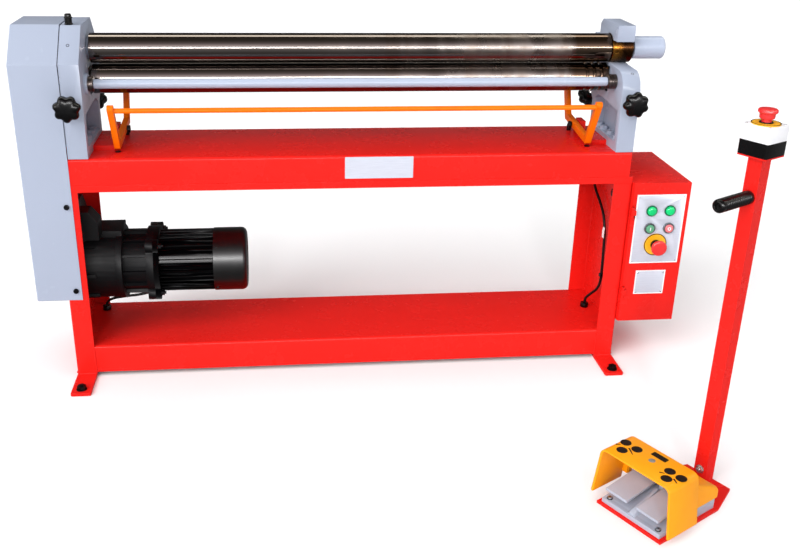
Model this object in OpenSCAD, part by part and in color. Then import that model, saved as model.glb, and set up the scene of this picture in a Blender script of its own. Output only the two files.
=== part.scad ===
// Motor-driven three-roll plate bending machine on a channel frame,
// with a control box on the right and a free-standing foot control.
// Millimetres, +Z up, front towards -Y. Origin: middle of the floor outline.

/* [Node] */

/* [Frame] */
// outside face of each leg, from the middle
leg_x = 704; // [690:720]
// half depth of the frame
half_d = 132; // [128:136]
// sheet thickness of the bent channels
wall = 4; // [3:1:5]
// working surface of the deck
deck_z = 577; // [577]
// top of the lower shelf
shelf_z = 86; // [80:92]
// how far the foot plates reach from the middle
foot_y = 230; // [200:230]

/* [Rolls] */
// diameter of the three rolls
roll_d = 70; // [66:71]
// height of the top roll axis
top_z = 811; // [811]
// height of the lower roll axis
low_z = 738.5; // [738.5]
// rear roll axis, behind the lower roll
rear_y = 84; // [84]
rear_z = 738; // [738]
// teeth on each roll gear
gear_teeth = 20; // [20]
gear_module = 3.5; // [3.5]
// diameter of the star knobs
knob_d = 63; // [56:64]

/* [Foot control] */
// turn of the foot control on the floor, degrees
foot_turn = 30; // [30]
// side of the square post
post_w = 30; // [28:32]
// top of the post
post_z = 738; // [700:740]

/* [Hidden] */
$fn = 72;
eps = 0.01;
foot_pos = [503.5, -817.5, 0];
OX = -(855 - 778) / 2;
OY = -(230 + foot_pos[1] - 2 * sin(30) - 100 * cos(30)) / 2;
c_red = [0.80, 0.05, 0.04];
c_grey = [0.60, 0.64, 0.70];
c_steel = [0.62, 0.61, 0.58];
c_black = [0.05, 0.05, 0.06];
c_orange = [0.90, 0.40, 0.05];
c_yellow = [0.95, 0.66, 0.08];
c_green = [0.05, 0.55, 0.18];
c_white = [0.90, 0.90, 0.90];
c_bronze = [0.55, 0.34, 0.16];
// stand faces
SL0 = -668; SL1 = -622; SR0 = 649; SR1 = 693;
KL = -650; KR = 671;           // screw lines of the front knobs
KZ = 705;
TBY = -74; TBZ = 741;           // line of the tie bar
wedge_a = 8;                    // wedge slope, degrees
MZ = 264;                       // gearmotor axis height
// routes of the two short cables, picked along the frame
route_motor = [[-430,100,223.9],[-431,101,200],[-445,100,172],[-480,92,150],[-520,84,140],
               [-560,78,132],[-600,77,128],[-632,80,122],[-650,85,112],[-656,86,100]];
route_ctrl = [[665,13,100],[667,10,114],[675,-2,132],[685,-16,152],[690,-23,176],[690,-25,212],
              [690,-22,250],[690,-18,290],[690,-12,325],[689,8,362],[687,40,388],[684,70,409],
              [684,88,422],[688,97,428],[694,100,430],[700,100,430]];

// ---------- placing helpers ----------
module mf() translate([OX, OY, 0]) children();
module ff() mf() translate(foot_pos) rotate(foot_turn) children();
module bx(x0, x1, y0, y1, z0, z1) translate([x0, y0, z0]) cube([x1 - x0, y1 - y0, z1 - z0]);
module yz(x0, x1) translate([x0, 0, 0]) rotate([90, 0, 90]) linear_extrude(x1 - x0) children();
module uz(v0, v1) translate([0, v1, 0]) rotate([90, 0, 0]) linear_extrude(v1 - v0) children();
module cx(x0, x1, y, z, d) translate([x0, y, z]) rotate([0, 90, 0]) cylinder(d = d, h = x1 - x0);
module cy(y0, y1, x, z, d) translate([x, y0, z]) rotate([-90, 0, 0]) cylinder(d = d, h = y1 - y0);
module cz(z0, z1, x, y, d) translate([x, y, z0]) cylinder(d = d, h = z1 - z0);
function hexpts(af) = [for (i = [0:5]) (af / 2 / cos(30)) * [cos(60 * i), sin(60 * i)]];
module hexz(z0, z1, x, y, af) translate([x, y, z0]) linear_extrude(z1 - z0) polygon(hexpts(af));
module hexx(x0, x1, y, z, af) translate([x0, y, z]) rotate([90, 0, 90]) linear_extrude(x1 - x0) polygon(hexpts(af));

// ---------- frame ----------
module leg(s) {
  // web on the outer side, a flange at the front and at the rear, open inwards
  mirror([s > 0 ? 0 : 1, 0, 0]) {
    bx(leg_x - wall, leg_x, -half_d, half_d, 8, 495);
    bx(leg_x - 49, leg_x - wall, -half_d, -half_d + wall, 8, 495);
    bx(leg_x - 49, leg_x - wall, half_d - wall, half_d, 8, 495);
  }
}
module leg_left() color(c_red) mf() difference() {
  leg(-1);
  cx(-leg_x - 1, -leg_x + wall + 1, 0, MZ, 60);
  for (y = [-75, 75], z = [180, 348]) cx(-leg_x - 1, -leg_x + wall + 1, y, z, 12.4);
  for (z = [242, 460], s = [-1, 1]) cy(s * half_d - 5, s * half_d + 5, -683, z, 6);
}
module leg_right() color(c_red) mf() difference() {
  leg(1);
  cx(leg_x - wall - 1, leg_x + 1, 100, 430, 16);
  cx(leg_x - wall - 1, leg_x + 1, -21, 433, 16);
}
module top_frame() color(c_red) mf() difference() {
  bx(-leg_x, leg_x, -half_d, half_d, 495, 512.5);
  bx(-leg_x + wall, leg_x - wall, -half_d + wall, half_d - wall, 494, 513);
}
module stand_bolt_places() {
  for (y = [-90, -40, 10, 46]) { translate([-637, y, 0]) children(); translate([664, y, 0]) children(); }
}
module deck_beam() color(c_red) mf() difference() {
  bx(-693, 692, -half_d, half_d, 512.5, deck_z);
  bx(-689, 688, -half_d + wall, half_d - wall, 512, deck_z - 6);
  stand_bolt_places() cz(deck_z - 7, deck_z + 1, 0, 0, 12.4);
}
module lower_shelf() color(c_red) mf() difference() {
  union() {
    bx(-leg_x + wall, leg_x - wall, -half_d + wall, half_d - wall, shelf_z - 4, shelf_z);
    bx(-leg_x + 49, leg_x - 49, -half_d, -half_d + wall, shelf_z - 73.5, shelf_z);
    bx(-leg_x + 49, leg_x - 49, half_d - wall, half_d, shelf_z - 73.5, shelf_z);
  }
  cz(shelf_z - 5, shelf_z + 1, -656, 86, 16);
  cz(shelf_z - 5, shelf_z + 1, 665, 13, 16);
}
module foot_plates() color(c_red) mf() for (s = [-1, 1]) difference() {
  bx(s > 0 ? leg_x - 49 : -leg_x, s > 0 ? leg_x : -leg_x + 49, -foot_y, foot_y, 0, 8);
  for (y = [-1, 1]) cz(-1, 9, s * 680, y * (foot_y - 22), 12.4);
}
module frame_bolts() color(c_black) mf() {
  for (sx = [-1, 1], sy = [-1, 1]) {
    // levelling screws in the foot plates
    translate([sx * 680, sy * (foot_y - 22), 0]) { cz(0.2, 10, 0, 0, 12); cz(8, 10, 0, 0, 26); hexz(10, 19, 0, 0, 19); }
  }
  stand_bolt_places() { hexz(600, 608, 0, 0, 18); cz(560, 600.5, 0, 0, 12); hexz(561, 571, 0, 0, 18); }
}

// ---------- side stands ----------
stand_l = [[-132, 577], [80, 577], [80, 663], [132, 715], [132, 797], [62, 873], [-62, 873], [-132, 797]];
pocket = [[-112, 600], [62, 600], [62, 670], [40, 684], [0, 684], [-48, 681], [-112, 676]];
// slot for a rear block, along the 45 degree line of its screw
module rear_slot() translate([rear_y, rear_z]) rotate(-45) translate([-37, -20.1]) square([70, 40.2]);
module rear_hole(x) translate([x, rear_y, rear_z]) rotate([-135, 0, 0]) cylinder(d = 14.2, h = 90);
module stand_cuts(k, x0, x1) {
  yz(x0 - 1, x1 + 1) translate([-25.1, 704]) square([50.2, 64]);
  yz(x0 - 1, x1 + 1) rear_slot();
  rear_hole(k);
  bx(k - 10.1, k + 10.1, -77, 52, 690, 724);
  cy(-140, -70, k, KZ, 14.2);
}
module side_stand_left() color(c_grey) mf() difference() {
  union() { yz(SL0, SL1) polygon(stand_l); cx(SL1 - 1, -615, TBY, TBZ, 48); }
  cx(SL0 - 1, SL1 + 1, 0, top_z, 48);
  cx(-640, -614, TBY, TBZ, 16);
  stand_cuts(KL, SL0, SL1);
  yz(SL1 - 30, SL1 + 1) polygon(pocket);
  stand_bolt_places() cz(570, 604, 0, 0, 12.4);
  cz(862, 880, KL, -52, 8);
}
stand_r = [[-132, 577], [80, 577], [80, 663], [132, 715], [132, 800], [122, 812], [78, 812], [74, 811], [0, 811], [0, 778], [-34, 774], [-96, 772],
           [-112, 765], [-125, 751], [-132, 732]];
YP = [100, 812];   // hinge of the release yoke
module side_stand_right() color(c_grey) mf() difference() {
  union() {
    yz(SR0, SR1) polygon(stand_r);
    yz(SR0, 660) translate(YP) circle(r = 21);
    yz(682, SR1) translate(YP) circle(r = 21);
  }
  cx(SR0 - 1, SR1 + 1, 0, top_z, 72);
  cx(SR0 - 1, 667, TBY, TBZ, 16);
  yz(660, 682) union() { translate(YP) circle(r = 22); translate([70, 790.5]) square([31, 30]); translate([100, 802]) square([33, 30]); }
  cx(SR0 - 1, SR1 + 1, YP[0], YP[1], 14);
  stand_cuts(KR, SR0, SR1);
  yz(SR0 - 1, SR0 + 30) polygon(pocket);
  stand_bolt_places() cz(570, 604, 0, 0, 12.4);
}
module release_yoke() color(c_grey) mf() difference() {
  union() {
    yz(SR0, SR1) polygon([[-56, 834], [-56, 873], [60, 873], [74, 860], [74, 811.4], [0, 811.4], [-30, 834]]);
    yz(660.3, 681.7) union() { translate(YP) circle(r = 20); polygon([[70, 815], [70, 850], [104, 831.6], [104, 815]]); }
  }
  cx(SR0 - 1, SR1 + 1, 0, top_z, 72.6);
  cx(SR0 - 1, SR1 + 1, YP[0], YP[1], 14.1);
}
// bar that ties the two stands together in front of the lower roll, with a collar at each end
module tie_bar() color(c_grey) mf() {
  cx(-640, 667, TBY, TBZ, 16);
  cx(-615, -603, TBY, TBZ, 36);
  cx(-603, 627, TBY, TBZ, 22);
  cx(627, SR0, TBY, TBZ, 36);
}
module oil_cup() color(c_black) mf() {
  cz(866, 873, KL, -52, 8);
  cz(873, 890, KL, -52, 18);
  cz(890, 898, KL, -52, 15);
}
module top_bushes() color(c_bronze) mf() {
  difference() { cx(SL0, -617, 0, top_z, 48); cx(SL0 - 1, -616, 0, top_z, 36.1); }
  difference() { cx(SR0, 701, 0, top_z, 72); cx(SR0 - 1, 702, 0, top_z, 45.1); }
}

// ---------- rolls ----------
module top_roll() color(c_steel) mf() {
  cx(-616, 646, 0, top_z, roll_d);
  cx(-670, -616, 0, top_z, 36);
  cx(-766, -670, 0, top_z, 35);
  cx(646, 707, 0, top_z, 45);
  cx(707, 760, 0, top_z, 38);
}
module lift_handle() color(c_grey) mf() translate([707, 0, top_z]) rotate([0, 90, 0]) rotate_extrude()
  difference() {
    union() { square([27.75, 75]); translate([0, 75]) square([21.75, 6]); translate([21.75, 75]) circle(r = 6); }
    translate([0, -1]) square([19, 54]);
  }
module groove(x, r) translate([x, 0, low_z]) rotate([0, 90, 0]) rotate_extrude() translate([roll_d / 2, 0]) circle(r = r);
module lower_roll() color(c_steel) mf() difference() {
  union() {
    cx(-616, 646, 0, low_z, roll_d);
    cx(-670, -616, 0, low_z, 40);
    cx(646, 692, 0, low_z, 40);
    cx(-702, -670, 0, low_z, 35);
  }
  groove(591, 4); groove(609, 4.5); groove(627, 5);
}
module rear_roll() color(c_steel) mf() {
  cx(-612, 639, rear_y, rear_z, roll_d);
  cx(-666, -612, rear_y, rear_z, 28);
  cx(639, 691, rear_y, rear_z, 28);
}
// involute gear outline with thinned teeth
function invd(a) = tan(a) * 180 / PI - a;
function tooth_half(r, rb, p, z) = 90 / z - 0.3 + invd(20) - invd(acos(min(1, rb / r)));
function gear_pts(z, m) = let (p = z * m / 2, rb = p * cos(20), rr = p - 1.25 * m, ra = p + m,
  rs = [rb + 0.05, (rb + p) / 2, p, (p + ra) / 2, ra])
  [for (i = [0:z - 1]) let (c = 360 * i / z) each concat(
    [rr * [cos(c - tooth_half(rb + 0.05, rb, p, z)), sin(c - tooth_half(rb + 0.05, rb, p, z))]],
    [for (r = rs) r * [cos(c - tooth_half(r, rb, p, z)), sin(c - tooth_half(r, rb, p, z))]],
    [for (k = [4:-1:0]) let (r = rs[k]) r * [cos(c + tooth_half(r, rb, p, z)), sin(c + tooth_half(r, rb, p, z))]],
    [rr * [cos(c + tooth_half(rb + 0.05, rb, p, z)), sin(c + tooth_half(rb + 0.05, rb, p, z))]])];
function sprocket_pts(z, r0, r1) = [for (i = [0:z - 1]) let (c = 360 * i / z, w = 360 / z) each
  [r0 * [cos(c - 0.36 * w), sin(c - 0.36 * w)], r1 * [cos(c - 0.12 * w), sin(c - 0.12 * w)],
   r1 * [cos(c + 0.12 * w), sin(c + 0.12 * w)], r0 * [cos(c + 0.36 * w), sin(c + 0.36 * w)]]];
module sprocket(zc, bore) difference() {
  union() {
    yz(-757, -747) translate([0, zc]) polygon(sprocket_pts(12, 30.5, 38));
    cx(-764, -738, 0, zc, 46);
  }
  cx(-770, -730, 0, zc, bore);
}
module roll_gear_top() color(c_steel) mf() {
  difference() { yz(-700, -675) translate([0, top_z]) polygon(gear_pts(gear_teeth, gear_module)); cx(-702, -670, 0, top_z, 35); }
  sprocket(top_z, 35);
}
module roll_gear_low() color(c_steel) mf()
  difference() { yz(-700, -675) translate([0, low_z]) rotate(180 / gear_teeth) polygon(gear_pts(gear_teeth, gear_module)); cx(-702, -670, 0, low_z, 35); }
module drive_sprocket() color(c_steel) mf() {
  sprocket(MZ, 28);
  cx(-766, -642, 0, MZ, 28);
}
module chain_loop(r) { translate([0, MZ]) circle(r = r); translate([0, top_z]) circle(r = r); translate([-r, MZ]) square([2 * r, top_z - MZ]); }
module drive_chain() color(c_steel) mf() {
  for (x = [-760.5, -745.5]) yz(x, x + 2) difference() { chain_loop(42); chain_loop(28.5); }
  for (s = [-1, 1], i = [0:12]) cx(-760.5, -743.5, s * 35.3, 304 + i * 38.1, 11.9);
}

// ---------- roll adjusters ----------
module pinch_blocks() color(c_steel) mf() for (e = [[SL0, SL1], [SR0, SR1]]) difference() {
  yz(e[0] + 0.5, e[1] - 0.5) polygon([[-25, 713.5 + 25 * tan(wedge_a)], [25, 713.5 - 25 * tan(wedge_a)], [25, 763.5], [-25, 763.5]]);
  cx(e[0] - 1, e[1] + 1, 0, low_z, 40.1);
}
module adjuster_wedges() color(c_steel) mf() for (k = [KL, KR])
  yz(k - 10, k + 10) polygon([[-45, 690.1], [35, 690.1], [35, 713.4 - 35 * tan(wedge_a)], [-45, 713.4 + 45 * tan(wedge_a)]]);
module rear_blocks() color(c_steel) mf() for (e = [[SL0, SL1], [SR0, SR1]]) difference() {
  yz(e[0] + 0.5, e[1] - 0.5) translate([rear_y, rear_z]) rotate(-45) translate([-20, -20]) square(40);
  cx(e[0] - 1, e[1] + 1, rear_y, rear_z, 28.1);
}
module star(d) { circle(d = d * 0.84); for (i = [0:6]) rotate(i * 360 / 7) translate([d / 2 - 9.5, 0]) circle(r = 9.5); }
// knob on its screw, screw end at the origin, knob towards +Z
module knob(len) {
  cylinder(d = 14, h = len);
  translate([0, 0, len - 14]) cylinder(d = 30, h = 14);
  translate([0, 0, len]) linear_extrude(20) star(knob_d);
  translate([0, 0, len + 20]) cylinder(d = 34, h = 4);
}
module front_knob(k) color(c_black) mf() translate([k, -45.1, KZ]) rotate([90, 0, 0]) knob(116);
module front_knob_left() front_knob(KL);
module front_knob_right() front_knob(KR);
module rear_knob(k) color(c_black) mf() translate([k, rear_y, rear_z]) rotate([-135, 0, 0]) translate([0, 0, 20.1]) knob(98);
module rear_knob_left() rear_knob(KL);
module rear_knob_right() rear_knob(KR);

// ---------- drive ----------
cover_o = [[-134, 216], [134, 216], [134, 797], [63, 875], [-63, 875], [-134, 797]];
cover_i = [[-132, 215], [132, 215], [132, 796.2], [62.1, 873], [-62.1, 873], [-132, 796.2]];
module gear_cover() color(c_grey) mf() difference() {
  union() {
    difference() { yz(-778, -671) polygon(cover_o); yz(-776, -670) polygon(cover_i); }
    bx(-777, -leg_x - 0.5, -133, 133, 216, 218);
  }
  for (z = [242, 460], s = [-1, 1]) cy(s * 133 - 4, s * 133 + 4, -683, z, 6);
}
module drive_bolts() color(c_black) mf() {
  for (z = [242, 460]) { cy(-138, -134, -683, z, 13); cy(-135, -125, -683, z, 6); }
  for (z = [242, 460]) { cy(134, 138, -683, z, 13); cy(125, 135, -683, z, 6); }
  for (y = [-75, 75], z = [180, 348]) { hexx(-712, -704, y, z, 18); cx(-704.5, -672, y, z, 12); }
  for (y = [-64, 64], z = [-64, 64]) { hexx(-487, -479, y, MZ + z, 13); cx(-500, -486, y, MZ + z, 8); }
}
module gearbox_housing() color(c_black) mf() difference() {
  union() {
    yz(-700, -686) polygon([[-112, 150], [112, 150], [112, 380], [70, 425], [-70, 425], [-112, 380]]);
    cx(-686, -592, 0, MZ, 184);
    cx(-592, -577, 0, MZ, 190);
    for (a = [0:45:315]) translate([0, 0, MZ]) rotate([a, 0, 0]) bx(-686, -640, -5, 5, 84, 98);
    // pad on top and stepped lug behind the leg
    bx(-662, -578, -42, 42, MZ + 60, MZ + 98);
    bx(-687, -668, -84, -30, 366, 424);
    bx(-687, -659, -84, -30, 352, 398);
  }
  cx(-701, -640, 0, MZ, 28.1);
  for (y = [-75, 75], z = [180, 348]) cx(-701, -672, y, z, 12);
}
module motor_adapter() color(c_black) mf() difference() {
  union() {
    cx(-577, -518, 0, MZ, 150);
    cx(-518, -500, 0, MZ, 180);
    for (y = [-64, 64], z = [-64, 64]) cx(-518, -500, y, MZ + z, 34);
    for (a = [0:30:330]) translate([0, 0, MZ]) rotate([a, 0, 0]) bx(-577, -517, -3, 3, 70, 84);
  }
  for (y = [-64, 64], z = [-64, 64]) cx(-500.5, -499, y, MZ + z, 8);
}
module motor_body() color(c_black) mf() difference() {
  union() {
    cx(-500, -352, 0, MZ, 146);
    cx(-500, -487, 0, MZ, 180);
    for (y = [-64, 64], z = [-64, 64]) cx(-500, -487, y, MZ + z, 34);
    for (a = [0:10:350]) translate([0, 0, MZ]) rotate([a, 0, 0]) bx(-488, -352, -1.5, 1.5, 70, 80);
    bx(-472, -388, 60, 118, MZ - 40, MZ + 40);
  }
  for (y = [-64, 64], z = [-64, 64]) cx(-501, -486, y, MZ + z, 8);
}
module fan_cowl() color(c_black) mf() translate([-352, 0, MZ]) rotate([0, 90, 0]) rotate_extrude() difference() {
  union() { square([82, 70]); square([67, 85]); translate([67, 70]) circle(r = 15); }
  translate([0, 0]) square([79, 68]);
  translate([0, 60]) square([66, 22]);
}

// ---------- cables: a round section swept along the route ----------
function unit(v) = v / norm(v);
function tangent(p, i) = let (n = len(p)) unit(i == 0 ? p[1] - p[0] : i == n - 1 ? p[n - 1] - p[n - 2] : p[i + 1] - p[i - 1]);
function side(t) = unit(cross(t, abs(t[1]) > 0.9 ? [1, 0, 0] : [0, 1, 0]));
module cable(p, d) {
  n = len(p); k = 10;
  pts = [for (i = [0:n - 1]) let (t = tangent(p, i), a = side(t), b = cross(t, a)) for (j = [0:k - 1]) p[i] + d / 2 * (a * cos(36 * j) + b * sin(36 * j))];
  polyhedron(pts, concat([[for (j = [0:k - 1]) k - 1 - j]],
    [for (i = [0:n - 2]) for (j = [0:k - 1]) [i * k + j, i * k + (j + 1) % k, (i + 1) * k + (j + 1) % k]],
    [for (i = [0:n - 2]) for (j = [0:k - 1]) [i * k + j, (i + 1) * k + (j + 1) % k, (i + 1) * k + j]],
    [[for (j = [0:k - 1]) (n - 1) * k + j]]), convexity = 6);
}
module cables() color(c_black) mf() { cable(route_motor, 9); cable(route_ctrl, 9); }
module gland_up(x, y) difference() {
  union() { cz(shelf_z, shelf_z + 12, x, y, 22); cz(shelf_z - 8, shelf_z, x, y, 16); }
  cz(shelf_z - 9, shelf_z + 13, x, y, 9.6);
}
module gland_down(x, y, r) difference() {
  union() { cz(99, 115, x, y, 24); cz(114, 123, x, y, 16); }
  cz(98, 124, x, y, 2 * r);
}
module cable_glands() color(c_black) mf() {
  gland_up(-656, 86);
  gland_up(665, 13);
  difference() { union() { cx(696, 700, 100, 430, 22); cx(699, 704, 100, 430, 16); } cx(695, 705, 100, 430, 12.4); }
  union() { cx(695, 700, -21, 433, 22); cx(699, 704, -21, 433, 16); }
  gland_down(780, 60, 5);
  gland_down(820, 60, 4);
}
module deck_label() color(c_white) mf() bx(-22, 144, -133, -132, 520, 574);

// ---------- trip frame ----------
XTL = -562; XTR = 594;
TP = [45, 602];      // pivot line of the trip frame
module bar2d(a, b, w) translate(a) rotate(atan2(b[1] - a[1], b[0] - a[0])) translate([0, -w / 2]) square([norm(b - a), w]);
TA = [-130, 695]; TB = [-74, 593]; TC = [100, 611]; TD = [138, 700];
module lever2d() difference() {
  union() {
    bar2d(TA, TB, 16); bar2d(TB, TC, 16); bar2d(TC, TD, 16);
    for (p = [TA, TB, TC, TD]) translate(p) circle(d = 17.4);
  }
  translate(TP) circle(d = 10.1);
}
module trip_frame() color(c_orange) mf() {
  yz(XTL - 7, XTL + 7) lever2d();
  yz(XTR - 7, XTR + 7) lever2d();
  // front bar, set a little below the tips of the levers
  cx(XTL, XTR, TA[0] + 2.9, TA[1] - 5.3, 12);
  cx(XTL, XTR, TD[0], TD[1], 12);
}
module trip_pad(x0, x1, l0, l1) difference() {
  union() { bx(x0, x1, -59, 75, deck_z, deck_z + 12); bx(l0, l1, 25, 65, deck_z + 11, 616); }
  cx(l0 - 1, l1 + 1, TP[0], TP[1], 10);
}
module trip_pads() color(c_red) mf() {
  trip_pad(SL1, -572, -587, -572);
  trip_pad(604, SR0, 604, 619);
}
module pivot_pins() color(c_steel) mf() {
  // trip pivots
  cx(-587, -554, TP[0], TP[1], 10); hexx(-554, -547, TP[0], TP[1], 17);
  cx(586, 619, TP[0], TP[1], 10); hexx(579, 586, TP[0], TP[1], 17);
  // stops under the trip levers
  for (x = [XTL, XTR]) { cz(deck_z, deck_z + 15, x, 84, 12); cz(deck_z, deck_z + 2, x, -74, 14); }
  // pins of the control door
  for (z = [200, 421]) cz(z - 15, z + 15, 708, -145, 5);
  // yoke pin
  cx(646, 696, YP[0], YP[1], 14);
}

// ---------- control box ----------
module control_shell() color(c_red) mf() difference() {
  union() {
    bx(704, 707, -137, 136, 115, 498);
    bx(852, 855, -137, 136, 115, 498);
    // floor, roof and back are set between the sides with a fine seam
    bx(707.05, 851.95, -137, 136, 115, 118);
    bx(707.05, 851.95, -137, 136, 495, 498);
    bx(707.05, 851.95, 133, 136, 118.05, 494.95);
    for (z = [200, 421], s = [-1, 1]) translate([0, 0, z + s * 11]) difference() {
      union() { bx(704, 712, -145, -136, -4, 4); cz(-4, 4, 708, -145, 8); }
      cz(-5, 5, 708, -145, 5);
    }
  }
  cx(700, 710, 100, 430, 12);
  cz(114, 119, 780, 60, 16);
  cz(114, 119, 820, 60, 16);
}
BTN = [[758, 378], [808, 378]];
LMP = [[758, 425], [806, 425]];
STP = [779, 333];
module control_door() color(c_red) mf() difference() {
  union() {
    difference() { bx(706, 855, -141, -137.5, 115, 498); for (z = [200, 421]) bx(705, 712.5, -142, -137, z - 15.6, z + 15.6); }
    for (z = [200, 421]) { cz(z - 6.5, z + 6.5, 708, -145, 8); bx(708, 716, -149, -145.5, z - 6.5, z + 6.5); bx(713, 716, -149, -140, z - 6.5, z + 6.5); }
  }
  for (z = [200, 421]) cz(z - 8, z + 8, 708, -145, 5.1);
  for (p = concat(BTN, LMP, [STP])) cy(-150, -130, p[0], p[1], 22.2);
}
module panel_plates() color(c_white) mf() {
  difference() { bx(716.5, 845, -142.5, -141, 281, 468); for (p = concat(BTN, LMP, [STP])) cy(-150, -130, p[0], p[1], 22.2); }
  bx(738, 818, -142, -141, 193, 260);
}
module pilot_lights() color(c_green) mf() for (p = LMP) {
  cy(-146.5, -142.5, p[0], p[1], 29);
  cy(-151, -146.5, p[0], p[1], 23);
  cy(-142.6, -112, p[0], p[1], 22);
}
module button_bezels() color(c_black) mf() {
  for (p = BTN) difference() {
    union() { cy(-148, -142.5, p[0], p[1], 29); cy(-142.6, -112, p[0], p[1], 22); }
    cy(-149, -114, p[0], p[1], 18.6);
    cy(-149, -143.5, p[0], p[1], 22);
  }
  difference() {
    union() { cy(-151, -144, STP[0], STP[1], 32); cy(-144.1, -112, STP[0], STP[1], 22); }
    cy(-152, -114, STP[0], STP[1], 18.6);
  }
}
module push(p) { cy(-151, -147.5, p[0], p[1], 21.6); cy(-147.6, -118, p[0], p[1], 18.5); }
module start_button() color(c_green) mf() push(BTN[0]);
module stop_button() color(c_red) mf() push(BTN[1]);
module panel_stop_ring() color(c_yellow) mf() difference() { cy(-144, -142.5, STP[0], STP[1], 60); cy(-145, -142, STP[0], STP[1], 22); }
// mushroom head, stem end at the origin, head towards +Z
module mushroom(stem, hd, n) {
  cylinder(d = 18.5, h = stem);
  translate([0, 0, stem - 0.01]) cylinder(d1 = hd * 0.74, d2 = hd * 0.80, h = n);
  translate([0, 0, stem + n - 0.1]) cylinder(d = hd, h = 5);
  translate([0, 0, stem + n + 4.8]) cylinder(d1 = hd - 1, d2 = hd - 8, h = 3);
}
module panel_stop_head() color(c_red) mf() translate([STP[0], -120, STP[1]]) rotate([90, 0, 0]) mushroom(38, 40, 10);

// ---------- foot control (own axes: u towards its post, v to its left) ----------
PU = 244;           // post axis
module foot_post() color(c_red) ff() {
  linear_extrude(6) polygon([[0, -82], [188, -82], [266, -55], [266, 55], [188, 82], [0, 82]]);
  translate([PU, 0, 5.9]) difference() {
    translate([-post_w / 2, -post_w / 2, 0]) cube([post_w, post_w, post_z - 5.9]);
    translate([-post_w / 2 + 2.5, -post_w / 2 + 2.5, 0.2]) cube([post_w - 5, post_w - 5, post_z]);
  }
  // head plate under the stop box
  difference() { translate([PU - 30, -30, post_z - 3]) cube([60, 60, 3]); cz(post_z - 4, post_z + 1, PU, 0, 20); }
}
module carry_grip() color(c_black) ff() translate([PU - post_w / 2, 0, 655]) rotate([0, -90, 0]) rotate_extrude()
  union() { square([13.5, 91]); square([7.5, 97]); translate([7.5, 91]) circle(r = 6); }
module stop_box_base() color(c_black) ff() difference() {
  translate([PU - 31, -31, post_z]) cube([62, 62, 28]);
  translate([PU - 28, -28, post_z + 3]) cube([56, 56, 40]);
}
module stop_box_cover() color(c_white) ff() difference() {
  translate([PU - 31, -31, post_z + 28]) cube([62, 62, 30]);
  translate([PU - 28, -28, post_z + 27]) cube([56, 56, 28]);
  cz(post_z + 50, post_z + 70, PU, 0, 22);
}
module post_stop_ring() color(c_yellow) ff() difference() {
  union() { cz(post_z + 58, post_z + 60, PU, 0, 54); cz(post_z + 59, post_z + 62, PU, 0, 26); cz(post_z + 31, post_z + 59, PU, 0, 22); }
  cz(post_z + 33, post_z + 70, PU, 0, 18.6);
}
module post_stop_head() color(c_red) ff() translate([PU, 0, post_z + 39]) mushroom(29, 36, 11);
base_prof = [[6, 6], [180, 6], [180, 40], [90, 40], [72, 30], [34, 18], [6, 16]];
PP = [108, 56];     // pedal pin
module switch_base() color(c_grey) ff() difference() {
  union() {
    uz(-74, 74) polygon(base_prof);
    for (v = [-77, -5, 72]) uz(v, v + (v == -5 ? 10 : 5)) union() { translate(PP) circle(r = 11); translate([97, 30]) square([22, 26]); }
  }
  uz(-90, 90) translate(PP) circle(d = 8);
  for (v = [-62, 62]) cz(5, 20, 16, v, 5);
}
module pedal(v0) color(c_grey) ff() difference() {
  union() {
    uz(v0, v0 + 55) polygon([[4, 45], [5, 38], [100, 50], [108, 48], [108, 64], [100, 60], [94, 58]]);
    uz(v0, v0 + 55) translate(PP) circle(r = 8);
  }
  uz(v0 - 1, v0 + 60) translate(PP) circle(d = 8.1);
}
module pedal_left() pedal(12);
module pedal_right() pedal(-67);
module pedal_hood() color(c_yellow) ff() {
  yz(-2, 88) polygon([[-100, 22], [-94, 22], [-81, 130], [81, 130], [94, 22], [100, 22], [86, 134], [-86, 134]]);
  yz(84, 88) polygon([[-88, 70], [88, 70], [81.2, 130.2], [-81.2, 130.2]]);
  difference() {
    uz(-82, 82) polygon([[87.9, 40], [176, 40], [176, 60], [168, 68], [87.9, 104]]);
    uz(-78, 78) polygon([[78, 39], [172, 39], [172, 58.4], [165.4, 64.8], [78, 104.1]]);
  }
}
module foot_screws() color(c_steel) ff() {
  for (v = [-62, 62]) { cz(17.4, 20.6, 16, v, 10); cz(6, 17.5, 16, v, 4.9); }
  uz(-77.5, 77.5) translate(PP) circle(d = 8);
  hexx(PU - post_w / 2 - 7, PU - post_w / 2, 0, 40, 13);
}

leg_left();
leg_right();
top_frame();
deck_beam();
lower_shelf();
foot_plates();
frame_bolts();
side_stand_left();
side_stand_right();
tie_bar();
oil_cup();
top_bushes();
gear_cover();
drive_bolts();
gearbox_housing();
motor_adapter();
motor_body();
fan_cowl();
drive_chain();
cables();
cable_glands();
deck_label();
trip_pads();
pivot_pins();
control_shell();
drive_sprocket();
trip_frame();
control_door();
panel_plates();
pilot_lights();
button_bezels();
start_button();
stop_button();
panel_stop_ring();
panel_stop_head();
top_roll();
roll_gear_top();
lift_handle();
lower_roll();
roll_gear_low();
rear_roll();
pinch_blocks();
rear_blocks();
adjuster_wedges();
front_knob_left();
front_knob_right();
rear_knob_left();
rear_knob_right();
release_yoke();
foot_post();
carry_grip();
stop_box_base();
stop_box_cover();
post_stop_ring();
post_stop_head();
switch_base();
pedal_left();
pedal_right();
pedal_hood();
foot_screws();
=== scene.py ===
import math

import bmesh
import bpy
from mathutils import Matrix, Vector


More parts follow.
